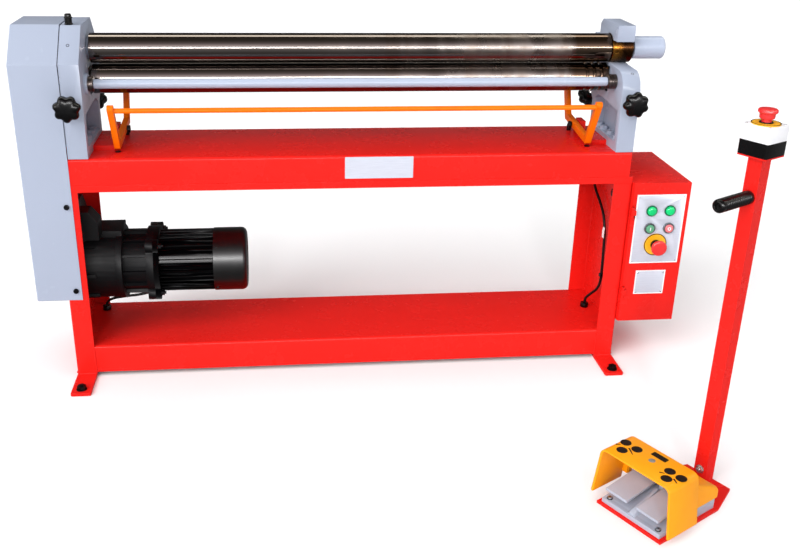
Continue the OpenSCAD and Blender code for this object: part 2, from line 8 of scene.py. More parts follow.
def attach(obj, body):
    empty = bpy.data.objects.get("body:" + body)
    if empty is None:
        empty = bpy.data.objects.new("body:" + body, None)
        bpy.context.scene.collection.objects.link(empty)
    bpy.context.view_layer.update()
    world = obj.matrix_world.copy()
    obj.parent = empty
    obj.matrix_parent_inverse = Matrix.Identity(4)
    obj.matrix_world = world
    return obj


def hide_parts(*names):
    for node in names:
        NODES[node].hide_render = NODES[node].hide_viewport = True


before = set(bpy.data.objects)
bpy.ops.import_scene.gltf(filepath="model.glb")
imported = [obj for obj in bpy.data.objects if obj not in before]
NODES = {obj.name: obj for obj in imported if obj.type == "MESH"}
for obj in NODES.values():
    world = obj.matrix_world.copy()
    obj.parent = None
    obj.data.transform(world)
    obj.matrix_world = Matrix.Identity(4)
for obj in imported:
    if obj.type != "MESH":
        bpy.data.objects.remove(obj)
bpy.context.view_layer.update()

# ------------------------------------------------------------------ frames
# machine frame in millimetres: X along the rolls, Y to the rear, Z up
OX = -38.5
OY = -(230 - 817.5 - 2 * math.sin(math.radians(30)) - 100 * math.cos(math.radians(30))) / 2
MM = Matrix.Scale(0.001, 4) @ Matrix.Translation((OX, OY, 0))
FF = MM @ Matrix.Translation((503.5, -817.5, 0)) @ Matrix.Rotation(math.radians(30), 4, "Z")
ID = Matrix.Identity(4)

# ------------------------------------------------------------------ materials


def lin(r, g, b):
    def f(c):
        c /= 255.0
        return c / 12.92 if c <= 0.04045 else ((c + 0.055) / 1.055) ** 2.4

    return (f(r), f(g), f(b), 1.0)


class Mat:
    """Small helper around one node tree."""

    def __init__(self, name):
        self.m = bpy.data.materials.new(name)
        self.m.use_nodes = True
        self.nt = self.m.node_tree
        self.b = self.nt.nodes["Principled BSDF"]
        self.tc = self.nt.nodes.new("ShaderNodeTexCoord")

    def link(self, a, b):
        self.nt.links.new(a, b)

    def node(self, kind, **kw):
        n = self.nt.nodes.new(kind)
        for k, v in kw.items():
            setattr(n, k, v)
        return n

    def coords(self, scale=(1, 1, 1), rot=(0, 0, 0)):
        mp = self.node("ShaderNodeMapping")
        mp.inputs["Scale"].default_value = scale
        mp.inputs["Rotation"].default_value = rot
        self.link(self.tc.outputs["Object"], mp.inputs["Vector"])
        return mp.outputs["Vector"]

    def noise(self, scale, detail=3.0, rough=0.55, stretch=None, dist=0.0, rot=(0, 0, 0)):
        n = self.node("ShaderNodeTexNoise")
        n.inputs["Scale"].default_value = scale
        n.inputs["Detail"].default_value = detail
        n.inputs["Roughness"].default_value = rough
        n.inputs["Distortion"].default_value = dist
        self.link(self.coords(stretch, rot) if stretch else self.tc.outputs["Object"], n.inputs["Vector"])
        return n.outputs["Fac"]

    def ramp(self, fac, stops, interp="LINEAR"):
        r = self.node("ShaderNodeValToRGB")
        r.color_ramp.interpolation = interp
        e = r.color_ramp.elements
        while len(e) < len(stops):
            e.new(0.5)
        for el, (p, c) in zip(e, stops):
            el.position = p
            el.color = c if len(c) == 4 else (*c, 1)
        self.link(fac, r.inputs["Fac"])
        return r.outputs["Color"]

    def rng(self, fac, a, b, lo=0.3, hi=0.7):
        r = self.node("ShaderNodeMapRange")
        r.inputs["From Min"].default_value = lo
        r.inputs["From Max"].default_value = hi
        r.inputs["To Min"].default_value = a
        r.inputs["To Max"].default_value = b
        self.link(fac, r.inputs["Value"])
        return r.outputs["Result"]

    def mix(self, fac, a, b, mode="MIX"):
        n = self.node("ShaderNodeMix", data_type="RGBA", blend_type=mode)
        for s, v in ((n.inputs[0], fac), (n.inputs[6], a), (n.inputs[7], b)):
            if hasattr(v, "is_linked") or hasattr(v, "node"):
                self.link(v, s)
            else:
                s.default_value = v
        return n.outputs[2]

    def math(self, op, a, b=0.5):
        n = self.node("ShaderNodeMath", operation=op)
        for s, v in ((n.inputs[0], a), (n.inputs[1], b)):
            if hasattr(v, "node"):
                self.link(v, s)
            else:
                s.default_value = v
        return n.outputs[0]

    def bump(self, fac, strength, dist=0.001, prev=None):
        n = self.node("ShaderNodeBump")
        n.inputs["Strength"].default_value = strength
        n.inputs["Distance"].default_value = dist
        self.link(fac, n.inputs["Height"])
        if prev is not None:
            self.link(prev, n.inputs["Normal"])
        return n.outputs["Normal"]

    def col(self, c):
        self.link(c, self.b.inputs["Base Color"])

    def rough(self, r):
        self.link(r, self.b.inputs["Roughness"])

    def normal(self, n):
        self.link(n, self.b.inputs["Normal"])

    def set(self, **kw):
        for k, v in kw.items():
            self.b.inputs[k.replace("_", " ")].default_value = v


def shade(c, k):
    return (min(1, c[0] * k), min(1, c[1] * k), min(1, c[2] * k), 1.0)


def paint(name, base, r0, r1, peel=0.05, scale=420, coat=0.0, var=0.05, spec=0.4, grime=None):
    """Sprayed paint: slow drift of tone, fine orange peel, a little wear in the gloss."""
    m = Mat(name)
    big = m.noise(2.6, 3.0, 0.5)
    c = m.ramp(big, [(0.25, shade(base, 1 - var)), (0.75, shade(base, 1 + var * 0.6))])
    if grime:
        g = m.noise(9.0, 7.0, 0.72)
        c = m.mix(m.rng(g, 0.0, 0.30, 0.56, 0.80), c, grime)
    m.col(c)
    m.rough(m.rng(m.noise(16.0, 4.0, 0.6), r0, r1))
    m.normal(m.bump(m.noise(scale, 2.0, 0.5), peel, 0.0006))
    if coat:
        m.set(Coat_Weight=coat, Coat_Roughness=0.10)
    m.b.inputs["Specular IOR Level"].default_value = spec
    return m.m


RED = paint("red_paint", lin(221, 30, 24), 0.22, 0.30, peel=0.008, scale=260, spec=0.14, var=0.05)
GREY = paint("grey_paint", lin(157, 165, 183), 0.20, 0.28, peel=0.02, scale=420, spec=0.20, var=0.03)
# lighter copy of the stands' grey paint, painted light: the round tie bar and lift handle are the same paint as the
# stands
GREY_LIT_COPY = paint("grey_paint_lit_copy", lin(167, 176, 195), 0.22, 0.30, peel=0.02, scale=420, spec=0.26, var=0.03)
ORANGE = paint("orange_paint", lin(244, 112, 6), 0.28, 0.38, peel=0.06, spec=0.08, var=0.08, grime=lin(196, 64, 8))
CAST = paint("black_cast", lin(3, 3, 5), 0.44, 0.54, peel=0.08, scale=150, spec=0.22, var=0.30)


def plastic(name, base, r0, r1, grain=0.10, gscale=900, var=0.05, spec=0.5, **kw):
    m = Mat(name)
    c = m.ramp(m.noise(14.0, 4.0), [(0.3, shade(base, 1 - var)), (0.7, shade(base, 1 + var))])
    m.col(c)
    m.rough(m.rng(m.noise(40.0, 3.0), r0, r1))
    m.normal(m.bump(m.noise(gscale, 2.0), grain, 0.0004))
    m.set(**kw)
    m.b.inputs["Specular IOR Level"].default_value = spec
    return m.m


BLACK_P = plastic("black_plastic", lin(4, 4, 5), 0.20, 0.28, 0.03, 700, 0.15, spec=0.26)
COWL = plastic("cowl_black", lin(3, 3, 4), 0.29, 0.34, 0.02, 500, 0.12, spec=0.66)
FINS = plastic("fin_black", lin(2, 2, 3), 0.30, 0.36, 0.01, 500, 0.12, spec=0.12)
LANDS = plastic("land_black", lin(2, 2, 3), 0.27, 0.32, 0.01, 500, 0.12, spec=0.40)
WHITE_P = plastic("white_plastic", lin(226, 226, 230), 0.30, 0.40, 0.05, 900, 0.02)
YELLOW_P = plastic("yellow_plastic", lin(243, 155, 8), 0.30, 0.40, 0.08, 500, 0.05, spec=0.25)
YELLOW_D = plastic("yellow_disc", lin(238, 176, 14), 0.35, 0.45, 0.05, 900, 0.05)
GREY_P = plastic("grey_plastic", lin(166, 172, 187), 0.38, 0.5, 0.22, 420, 0.05)
RED_P = plastic("red_plastic", lin(222, 40, 40), 0.26, 0.36, 0.04, 900, 0.05)
RUBBER = plastic("cable_rubber", lin(7, 7, 8), 0.35, 0.5, 0.10, 500, 0.15, spec=0.3)
GRIP = plastic("grip_rubber", lin(6, 6, 7), 0.22, 0.32, 0.08, 420, 0.15, spec=0.28)
LENS_G = plastic("green_lens", lin(8, 196, 112), 0.08, 0.14, 0.03, 300, 0.10, Coat_Weight=0.4)
LENS_RING = plastic("lens_ring", lin(6, 92, 62), 0.18, 0.26, 0.03, 300, 0.10)
BTN_G = plastic("green_button", lin(92, 158, 122), 0.20, 0.30, 0.04, 800, 0.05)
BTN_R = plastic("red_button", lin(214, 118, 124), 0.20, 0.30, 0.04, 800, 0.05)
BEZEL = plastic("bezel_grey", lin(128, 132, 136), 0.22, 0.32, 0.05, 800, 0.06, Metallic=0.7)
INK = plastic("ink_black", lin(16, 9, 5), 0.45, 0.6, 0.05, 800, 0.1, spec=0.15)
MARK_W = plastic("mark_white", lin(236, 236, 236), 0.4, 0.5, 0.03, 800, 0.02)
MARK_G = plastic("mark_grey", lin(120, 118, 112), 0.4, 0.5, 0.03, 800, 0.04)


def sheet_metal():
    m = Mat("plate_sheet")
    n = m.noise(30.0, 3.0, 0.6, stretch=(1, 1, 26))
    m.col(m.ramp(n, [(0.25, lin(190, 194, 208)), (0.75, lin(204, 208, 220))]))
    m.rough(m.rng(n, 0.30, 0.42))
    m.normal(m.bump(m.noise(500.0), 0.03, 0.0003))
    m.set(Metallic=0.15)
    return m.m


PLATE = sheet_metal()


def roll_steel(name, clean, dull, tarnish, amount, r0):
    """Ground and polished steel: lengthwise rub marks, a rubbed and tarnished stretch to the right."""
    m = Mat(name)
    rub = m.noise(1.0, 4.0, 0.6, stretch=(1.1, 46, 46))
    ringm = m.noise(1.0, 3.0, 0.6, stretch=(34, 0.8, 0.8))
    patch = m.noise(1.0, 5.0, 0.62, stretch=(9.0, 3.0, 3.0), dist=0.6)
    sep = m.node("ShaderNodeSeparateXYZ")
    m.link(m.tc.outputs["Object"], sep.inputs["Vector"])
    right = m.rng(sep.outputs["X"], 0.0, 1.0, -0.20, 0.40)
    right = m.math("MULTIPLY", right, m.rng(sep.outputs["X"], 1.0, 0.0, 0.498, 0.520))
    wear = m.math("MULTIPLY", m.rng(patch, 0.0, 1.0, 0.34, 0.56), right)
    bands = m.math("MULTIPLY", m.rng(ringm, 0.0, 1.0, 0.45, 0.65), right)
    brown = m.rng(sep.outputs["X"], 0.0, 0.72, 0.498, 0.520)
    steel = m.mix(m.rng(rub, 0.0, 0.8, 0.38, 0.72), clean, dull)
    steel = m.mix(m.math("MULTIPLY", bands, 0.55), steel, tarnish)
    steel = m.mix(brown, steel, tarnish)
    light = shade(clean, 1.25)
    m.col(m.mix(m.math("MULTIPLY", wear, amount), steel, light))
    r = m.math("ADD", m.rng(rub, r0, r0 + 0.05), m.math("MULTIPLY", wear, 0.26))
    m.rough(m.math("ADD", r, m.math("MULTIPLY", bands, 0.05)))
    m.normal(m.bump(m.noise(1.0, 2.0, 0.5, stretch=(600, 2, 2)), 0.004, 0.0002))
    m.set(Metallic=1.0)
    return m.m


ROLL_T = roll_steel("roll_steel", lin(118, 111, 107), lin(98, 90, 85), lin(82, 60, 38), 0.60, 0.09)
ROLL_L = roll_steel("roll_steel_low", lin(122, 115, 111), lin(102, 94, 89), lin(86, 64, 42), 0.50, 0.09)
ROLL_R = roll_steel("roll_steel_rear", lin(160, 152, 144), lin(120, 110, 100), lin(96, 70, 44), 0.35, 0.11)


def metal(name, a, b, r0, r1, scale=40.0, stretch=None, bump=0.05, **kw):
    m = Mat(name)
    n = m.noise(scale, 4.0, 0.6, stretch=stretch)
    m.col(m.ramp(n, [(0.3, a), (0.7, b)]))
    m.rough(m.rng(m.noise(scale * 1.7, 3.0), r0, r1))
    m.normal(m.bump(m.noise(scale * 12, 2.0), bump, 0.0003))
    m.set(Metallic=1.0, **kw)
    return m.m


STEEL = metal("gear_steel", lin(120, 118, 112), lin(168, 166, 160), 0.25, 0.42)
ZINC = metal("zinc", lin(186, 188, 192), lin(214, 215, 218), 0.22, 0.36, 60)
COLLAR = metal("oiled_collar", lin(52, 46, 42), lin(104, 95, 92), 0.30, 0.44, 50)
BOLT = metal("black_bolt", lin(26, 26, 28), lin(46, 45, 46), 0.34, 0.5, 60)


def bronze():
    """Oiled bronze: bright and golden towards the roll, darker further out."""
    m = Mat("bronze")
    n = m.noise(60.0, 5.0, 0.65)
    sep = m.node("ShaderNodeSeparateXYZ")
    m.link(m.tc.outputs["Object"], sep.inputs["Vector"])
    out = m.rng(sep.outputs["X"], 0.0, 1.0, 0.621, 0.638)
    gold = m.ramp(n, [(0.3, lin(74, 44, 14)), (0.7, lin(138, 92, 34))])
    dark = m.ramp(n, [(0.3, lin(30, 18, 10)), (0.7, lin(66, 40, 20))])
    m.col(m.mix(out, gold, dark))
    m.rough(m.rng(m.noise(90.0, 3.0), 0.16, 0.34))
    m.normal(m.bump(m.noise(300.0, 2.0), 0.06, 0.0003))
    m.set(Metallic=1.0)
    return m.m


BRONZE = bronze()
JOURNAL = metal("oiled_journal", lin(70, 46, 24), lin(150, 112, 66), 0.12, 0.30, 30, (1, 1, 1), 0.04)

# ------------------------------------------------------------------ mesh helpers


def arc_poly(pts, r, n=5):
    """Polygon with its corners rounded; r is one radius or one per corner."""
    out = []
    k = len(pts)
    for i in range(k):
        p, a, b = Vector(pts[i]), Vector(pts[i - 1]), Vector(pts[(i + 1) % k])
        ri = r[i] if isinstance(r, (list, tuple)) else r
        u, v = (a - p).normalized(), (b - p).normalized()
        cosang = max(-1, min(1, u.dot(v)))
        ang = math.acos(cosang)
        if ri <= 0 or ang > math.radians(179):
            out.append(tuple(p))
            continue
        t = min(ri / math.tan(ang / 2), (a - p).length * 0.49, (b - p).length * 0.49)
        ri = t * math.tan(ang / 2)
        c = p + (u + v).normalized() * (ri / math.sin(ang / 2))
        s, e = p + u * t - c, p + v * t - c
        a0, a1 = math.atan2(s.y, s.x), math.atan2(e.y, e.x)
        d = (a1 - a0 + math.pi) % (2 * math.pi) - math.pi
        for j in range(n + 1):
            q = a0 + d * j / n
            out.append((c.x + ri * math.cos(q), c.y + ri * math.sin(q)))
    return out


def place(axis, q, a):
    if axis == "x":
        return (a, q[0], q[1])
    if axis == "y":
        return (q[0], a, q[1])
    return (q[0], q[1], a)


def prism(bm, pts, axis, a0, a1):
    lo = [bm.verts.new(place(axis, p, a0)) for p in pts]
    hi = [bm.verts.new(place(axis, p, a1)) for p in pts]
    n = len(pts)
    fs = [bm.faces.new(lo), bm.faces.new(hi)]
    for i in range(n):
        fs.append(bm.faces.new((lo[i], lo[(i + 1) % n], hi[(i + 1) % n], hi[i])))
    return fs


def ring_prism(bm, outer, inner, axis, a0, a1):
    """Prism with one hole: outer and inner outlines with the same number of points."""
    n = len(outer)
    v = [[bm.verts.new(place(axis, p, a)) for p in o] for a in (a0, a1) for o in (outer, inner)]
    lo_o, lo_i, hi_o, hi_i = v
    for i in range(n):
        j = (i + 1) % n
        bm.faces.new((lo_o[i], lo_o[j], lo_i[j], lo_i[i]))
        bm.faces.new((hi_o[i], hi_o[j], hi_i[j], hi_i[i]))
        bm.faces.new((lo_o[i], lo_o[j], hi_o[j], hi_o[i]))
        bm.faces.new((lo_i[i], lo_i[j], hi_i[j], hi_i[i]))


def box(bm, x0, x1, y0, y1, z0, z1):
    prism(bm, [(x0, y0), (x1, y0), (x1, y1), (x0, y1)], "z", z0, z1)


def circ(n, r, cx=0.0, cy=0.0, ph=0.0):
    return [(cx + r * math.cos(2 * math.pi * i / n + ph), cy + r * math.sin(2 * math.pi * i / n + ph)) for i in range(n)]


def lathe(bm, prof, axis, c, n=64, m=None, closed=False):
    """Turn a profile of (radius, along) about an axis through c, a point in the two other coordinates."""
    rings = []
    for r, a in prof:
        if r < 1e-6:
            rings.append([bm.verts.new(place(axis, c, a))])
        else:
            rings.append([bm.verts.new(place(axis, (c[0] + r * math.cos(2 * math.pi * i / n), c[1] + r * math.sin(2 * math.pi * i / n)), a)) for i in range(n)])
    pairs = list(zip(rings[:-1], rings[1:]))
    if closed:
        pairs.append((rings[-1], rings[0]))
    for A, B in pairs:
        for i in range(n):
            j = (i + 1) % n
            if len(A) == 1 and len(B) == 1:
                continue
            if len(A) == 1:
                bm.faces.new((A[0], B[i], B[j]))
            elif len(B) == 1:
                bm.faces.new((A[i], A[j], B[0]))
            else:
                bm.faces.new((A[i], A[j], B[j], B[i]))


def solid_prof(segs, ch=0.6):
    """Profile of a stepped shaft from (radius, a0, a1) pieces, each outer corner chamfered."""
    out = [(0, segs[0][1])]
    for k, (r, a0, a1) in enumerate(segs):
        pr = segs[k - 1][0] if k else 0
        nr = segs[k + 1][0] if k + 1 < len(segs) else 0
        if r > pr:
            out += [(r - ch, a0), (r, a0 + ch)]
        else:
            out += [(r, a0)]
        if r > nr:
            out += [(r, a1 - ch), (r - ch, a1)]
        else:
            out += [(r, a1)]
    out.append((0, segs[-1][2]))
    return out


def thread_prof(r, a0, a1, pitch):
    out = []
    k = max(2, int(abs(a1 - a0) / pitch))
    for i in range(k):
        s = a0 + (a1 - a0) * i / k
        d = (a1 - a0) / k
        out += [(r - 0.9, s), (r, s + d * 0.4), (r, s + d * 0.6)]
    out.append((r - 0.9, a1))
    return out


def tube(bm, path, r, n=12, caps=True):
    """Round tube on a list of points; r is a number or a function of the index."""
    pts = [Vector(p) for p in path]
    t0 = (pts[1] - pts[0]).normalized()
    ref = Vector((0, 0, 1)) if abs(t0.z) < 0.9 else Vector((1, 0, 0))
    nrm = t0.cross(ref).normalized()
    rings = []
    for i, p in enumerate(pts):
        a, b = pts[max(0, i - 1)], pts[min(len(pts) - 1, i + 1)]
        t = (b - a).normalized()
        nrm = (nrm - t * nrm.dot(t)).normalized()
        bi = t.cross(nrm)
        ri = r(i) if callable(r) else r
        rings.append([bm.verts.new(p + (nrm * math.cos(2 * math.pi * k / n) + bi * math.sin(2 * math.pi * k / n)) * ri) for k in range(n)])
    for A, B in zip(rings[:-1], rings[1:]):
        for i in range(n):
            j = (i + 1) % n
            bm.faces.new((A[i], A[j], B[j], B[i]))
    if caps:
        bm.faces.new(rings[0])
        bm.faces.new(rings[-1])


def smooth_path(ctrl, per=6):
    pts = [Vector(p) for p in ctrl]
    e = [pts[0] * 2 - pts[1]] + pts + [pts[-1] * 2 - pts[-2]]
    out = []
    for i in range(1, len(e) - 2):
        p0, p1, p2, p3 = e[i - 1], e[i], e[i + 1], e[i + 2]
        for k in range(per):
            t = k / per
            out.append(0.5 * ((2 * p1) + (p2 - p0) * t + (2 * p0 - 5 * p1 + 4 * p2 - p3) * t * t + (3 * p1 - p0 - 3 * p2 + p3) * t ** 3))
    out.append(pts[-1])
    return out


def weld(bm, a, b, r=2.4, pitch=3.0):
    """Rippled weld bead from a to b."""
    a, b = Vector(a), Vector(b)
    L = (b - a).length
    n = max(4, int(L / 0.9))
    path = [a + (b - a) * (i / n) for i in range(n + 1)]
    tube(bm, path, lambda i: r * (0.88 + 0.14 * abs(math.sin(math.pi * (i * L / n) / pitch))), 8)


def hexbolt(bm, axis, c, a0, a1, af, ch=1.2, ph=0.0):
    """Hexagon head between a0 (seat) and a1 (top) with a chamfered top."""
    r = af / 2 / math.cos(math.pi / 6)
    s = 1 if a1 > a0 else -1
    outline = circ(6, r, c[0], c[1], ph)
    small = circ(6, r - ch, c[0], c[1], ph)
    rows = [(outline, a0), (outline, a1 - s * ch * 0.6), (small, a1)]
    rings = [[bm.verts.new(place(axis, p, a)) for p in o] for o, a in rows]
    for A, B in zip(rings[:-1], rings[1:]):
        for i in range(6):
            bm.faces.new((A[i], A[(i + 1) % 6], B[(i + 1) % 6], B[i]))
    bm.faces.new(rings[0])
    bm.faces.new(rings[-1])


def capscrew(bm, axis, c, a0, a1, d, sock=0.5):
    """Socket-head screw: round head with a hexagon socket in its face."""
    r = d / 2
    s = 1 if a1 > a0 else -1
    n = 30
    hexr = d * sock / 2
    rows = [(circ(n, r, *c), a0), (circ(n, r, *c), a1 - s * 0.7), (circ(n, r - 0.7, *c), a1)]
    rings = [[bm.verts.new(place(axis, p, a)) for p in o] for o, a in rows]
    hx = []
    for i in range(n):
        q = 2 * math.pi * i / n
        k = math.cos(math.pi / 6) / math.cos((q % (math.pi / 3)) - math.pi / 6)
        hx.append((c[0] + hexr * k * math.cos(q), c[1] + hexr * k * math.sin(q)))
    rings.append([bm.verts.new(place(axis, p, a1)) for p in hx])
    rings.append([bm.verts.new(place(axis, p, a1 - s * abs(a1 - a0) * 0.55)) for p in hx])
    for A, B in zip(rings[:-1], rings[1:]):
        for i in range(n):
            bm.faces.new((A[i], A[(i + 1) % n], B[(i + 1) % n], B[i]))
    bm.faces.new(rings[0])
    bm.faces.new(rings[-1])


def loft(bm, secs):
    """Skin over sections, each a closed list of points with the same count, closed at both ends."""
    rings = [[bm.verts.new(q) for q in sec] for sec in secs]
    n = len(rings[0])
    for A, C in zip(rings[:-1], rings[1:]):
        for i in range(n):
            bm.faces.new((A[i], A[(i + 1) % n], C[(i + 1) % n], C[i]))
    bm.faces.new(rings[0])
    bm.faces.new(rings[-1])


def finish_piece(name, bm, mat, body, M=MM, bevel=0.0, segs=2, replaces=(), sharp=32.0, limit=30.0, sub=0):
    bmesh.ops.transform(bm, matrix=M, verts=bm.verts)
    bmesh.ops.recalc_face_normals(bm, faces=bm.faces)
    for f in bm.faces:
        f.smooth = True
    if not bevel:
        lim = math.radians(sharp)
        for e in bm.edges:
            if len(e.link_faces) == 2 and e.calc_face_angle(0) > lim:
                e.smooth = False
    me = bpy.data.meshes.new(name)
    bm.to_mesh(me)
    bm.free()
    ob = bpy.data.objects.new(name, me)
    bpy.context.scene.collection.objects.link(ob)
    for k in mat if isinstance(mat, (list, tuple)) else [mat]:
        me.materials.append(k)
    if bevel:
        md = ob.modifiers.new("edge", "BEVEL")
        md.width = bevel * 0.001
        md.segments = segs
        md.limit_method = "ANGLE"
        md.angle_limit = math.radians(limit)
        md.use_clamp_overlap = True
        md.harden_normals = True
    if sub:
        md = ob.modifiers.new("sub", "SUBSURF")
        md.levels = md.render_levels = sub
    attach(ob, body)
    if replaces:
        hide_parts(*replaces)
    return ob


def from_node(node, mat, body, bevel=1.0, segs=2, limit=30.0):
    """Bevelled copy of a CAD node that stands in its place."""
    bm = bmesh.new()
    bm.from_mesh(NODES[node].data)
    bmesh.ops.remove_doubles(bm, verts=bm.verts, dist=2e-6)
    bmesh.ops.dissolve_limit(bm, angle_limit=math.radians(0.6), verts=bm.verts, edges=bm.edges)
    return finish_piece(node + "_v", bm, mat, body, M=ID, bevel=bevel, segs=segs, replaces=(node,), limit=limit)


def repaint(node, mat):
    me = NODES[node].data
    me.materials.clear()
    me.materials.append(mat)
    for p in me.polygons:
        p.material_index = 0


B = bmesh.new

# ------------------------------------------------------------------ camera
CAM = dict(pos=(-185.9, -2316.3, 1226.2), yaw=6.653, pitch=-22.678, roll=1.155, f=946.1, c=(380.6, 258.7))
y, p, r = (math.radians(CAM[k]) for k in ("yaw", "pitch", "roll"))
fwd = Vector((math.sin(y) * math.cos(p), math.cos(y) * math.cos(p), math.sin(p)))
right = Vector((math.cos(y), -math.sin(y), 0))
up = right.cross(fwd)
r2 = math.cos(r) * right + math.sin(r) * up
u2 = -math.sin(r) * right + math.cos(r) * up
cam = bpy.data.cameras.new("camera")
cam.sensor_fit = "HORIZONTAL"
cam.sensor_width = 36.0
cam.lens = CAM["f"] / 800 * 36.0
cam.shift_x = (400 - CAM["c"][0]) / 800
cam.shift_y = -(276 - CAM["c"][1]) / 800
cam.clip_end = 200
cob = bpy.data.objects.new("camera", cam)
bpy.context.scene.collection.objects.link(cob)
rot = Matrix((r2, u2, -fwd)).transposed().to_4x4()
cob.matrix_world = Matrix.Translation(MM @ Vector(CAM["pos"])) @ rot
bpy.context.scene.camera = cob

# ------------------------------------------------------------------ frame sheet work
bm = B()
for s in (-1, 1):
    prof = [(655, -132), (704, -132), (704, 132), (655, 132), (655, 128), (700, 128), (700, -128), (655, -128)]
    pr = arc_poly(prof, [0.8, 7, 7, 0.8, 0.8, 3, 3, 0.8], 5)
    prism(bm, [(s * q[0], q[1]) for q in pr], "z", 8, 495)
    # weld beads at the foot and along the shelf ledge
    for yy in (-132.6, 132.6):
        weld(bm, (s * 658, yy, 9.2), (s * 698, yy, 9.2), 2.6)
    weld(bm, (s * 704.6, -124, 9.2), (s * 704.6, 124, 9.2), 2.6)
    for yy in (-70, 70):
        weld(bm, (s * 699.4, yy - 45, 88), (s * 699.4, yy + 45, 88), 2.6)
finish_piece("legs", bm, RED, "machine", replaces=("leg_left", "leg_right"))

bm = B()
outer = arc_poly([(-704, -132), (704, -132), (704, 132), (-704, 132)], 5, 5)
inner = arc_poly([(-700, -128), (700, -128), (700, 128), (-700, 128)], 1.5, 5)
ring_prism(bm, outer, inner, "z", 495, 512.4)
for xx in (-640, -420, -200, 20, 240, 460, 640):
    for yy in (-127.4, 127.4):
        weld(bm, (xx - 22, yy, 511), (xx + 22, yy, 511), 2.4)
finish_piece("top_frame_v", bm, RED, "machine", bevel=0.9, replaces=("top_frame",))

bm = B()
prof = [(-132, 512.5), (-132, 577), (132, 577), (132, 512.5), (128, 512.5), (128, 571), (-128, 571), (-128, 512.5)]
prism(bm, arc_poly(prof, [0.8, 7, 7, 0.8, 0.8, 2.5, 2.5, 0.8], 6), "x", -693, 692)
for x0, x1 in ((-692.9, -689), (688, 691.9)):
    prism(bm, arc_poly([(-129, 513), (-129, 574), (129, 574), (129, 513)], 4, 4), "x", x0, x1)
# ledge that closes the ring beyond each end of the beam
for x0, x1 in ((-701, -687), (686, 701)):
    prism(bm, arc_poly([(x0, -129), (x1, -129), (x1, 129), (x0, 129)], 1.0, 3), "z", 508.6, 512.0)
finish_piece("deck_beam_v", bm, RED, "machine", replaces=("deck_beam",))

bm = B()
prof = [(-132, 12.5), (-132, 86), (132, 86), (132, 12.5), (128, 12.5), (128, 82), (-128, 82), (-128, 12.5)]
prism(bm, arc_poly(prof, [0.8, 7, 7, 0.8, 0.8, 2.5, 2.5, 0.8], 6), "x", -655, 655)
for s in (-1, 1):
    prism(bm, [(s * 654, -127.6), (s * 699.8, -127.6), (s * 699.8, 127.6), (s * 654, 127.6)], "z", 82.1, 85.9)
    for yy in (-131.4, 131.4):
        weld(bm, (s * 655.3, yy, 16), (s * 655.3, yy, 78), 2.4)
finish_piece("lower_shelf_v", bm, RED, "machine", replaces=("lower_shelf",))

bm = B()
for s in (-1, 1):
    x0, x1 = (655, 704) if s > 0 else (-704, -655)
    prism(bm, arc_poly([(x0, -230), (x1, -230), (x1, 230), (x0, 230)], 5, 5), "z", 0, 8)
finish_piece("foot_plates_v", bm, RED, "machine", bevel=1.2, replaces=("foot_plates",))

bm = B()
for sx in (-1, 1):
    for sy in (-1, 1):
        c = (sx * 680, sy * 208)
        lathe(bm, [(0, 8.0), (13, 8.0), (13, 9.4), (12.4, 10), (0, 10)], "z", c, 40)
        hexbolt(bm, "z", c, 10, 19, 19, 1.4, 0.3 + sx)
        lathe(bm, [(0, 19), (4.6, 19), (5.2, 19.6), (5.2, 21), (4.4, 21.6), (0, 21.6)], "z", c, 24)
        lathe(bm, [(0, 0.2), (5.9, 0.2), (5.9, 8.2), (0, 8.2)], "z", c, 24)
bs = B()
for yy in (-90, -40, 10, 46):
    for xx in (-637, 664):
        hexbolt(bs, "z", (xx, yy), 601.6, 608, 18, 1.2, 0.2 * yy)
        lathe(bs, [(0, 600), (11.5, 600), (11.5, 601.2), (11, 601.6), (0, 601.6)], "z", (xx, yy), 32)
        lathe(bm, [(0, 560), (5.9, 560), (5.9, 600.4), (0, 600.4)], "z", (xx, yy), 20)
        hexbolt(bm, "z", (xx, yy), 571, 561, 18, 1.2, 0.1 * yy)
finish_piece("frame_bolts_v", bm, BOLT, "machine", replaces=("frame_bolts",))
finish_piece("stand_bolts_v", bs, GREY, "machine")

# ------------------------------------------------------------------ stands, yoke, cover
from_node("side_stand_left", GREY, "machine", 2.0, 3)
from_node("side_stand_right", GREY, "machine", 2.0, 3)
from_node("release_yoke", GREY, "release_yoke", 2.0, 3)
from_node("trip_pads", RED, "machine", 1.6, 3)

co = [(-134, 216), (134, 216), (134, 797), (63, 875), (-63, 875), (-134, 797)]
ci = [(-132, 216.2), (132, 216.2), (132, 796.2), (62.1, 873), (-62.1, 873), (-132, 796.2)]
bm = B()
o = arc_poly(co, 3.0, 4)
i_ = arc_poly(ci, 1.6, 4)
# wrap of sheet, closed by the outer plate
n = len(o)
rows = [(o, -669.4), (o, -775.2), (arc_poly([(a * 0.9985, 545 + (b - 545) * 0.9993) for a, b in co], 3.0, 4), -776.6),
        (arc_poly([(a * 0.99, 545 + (b - 545) * 0.996) for a, b in co], 2.6, 4), -778)]
rings = [[bm.verts.new((a, q[0], q[1])) for q in pr] for pr, a in rows]
for A, C in zip(rings[:-1], rings[1:]):
    for k in range(n):
        bm.faces.new((A[k], A[(k + 1) % n], C[(k + 1) % n], C[k]))
bm.faces.new(rings[-1])
rows = [(i_, -669.4), (i_, -776)]
rin = [[bm.verts.new((a, q[0], q[1])) for q in pr] for pr, a in rows]
for k in range(n):
    bm.faces.new((rin[0][k], rin[0][(k + 1) % n], rin[1][(k + 1) % n], rin[1][k]))
    bm.faces.new((rings[0][k], rings[0][(k + 1) % n], rin[0][(k + 1) % n], rin[0][k]))
bm.faces.new(rin[1])
finish_piece("gear_cover_v", bm, GREY, "machine", replaces=("gear_cover",))

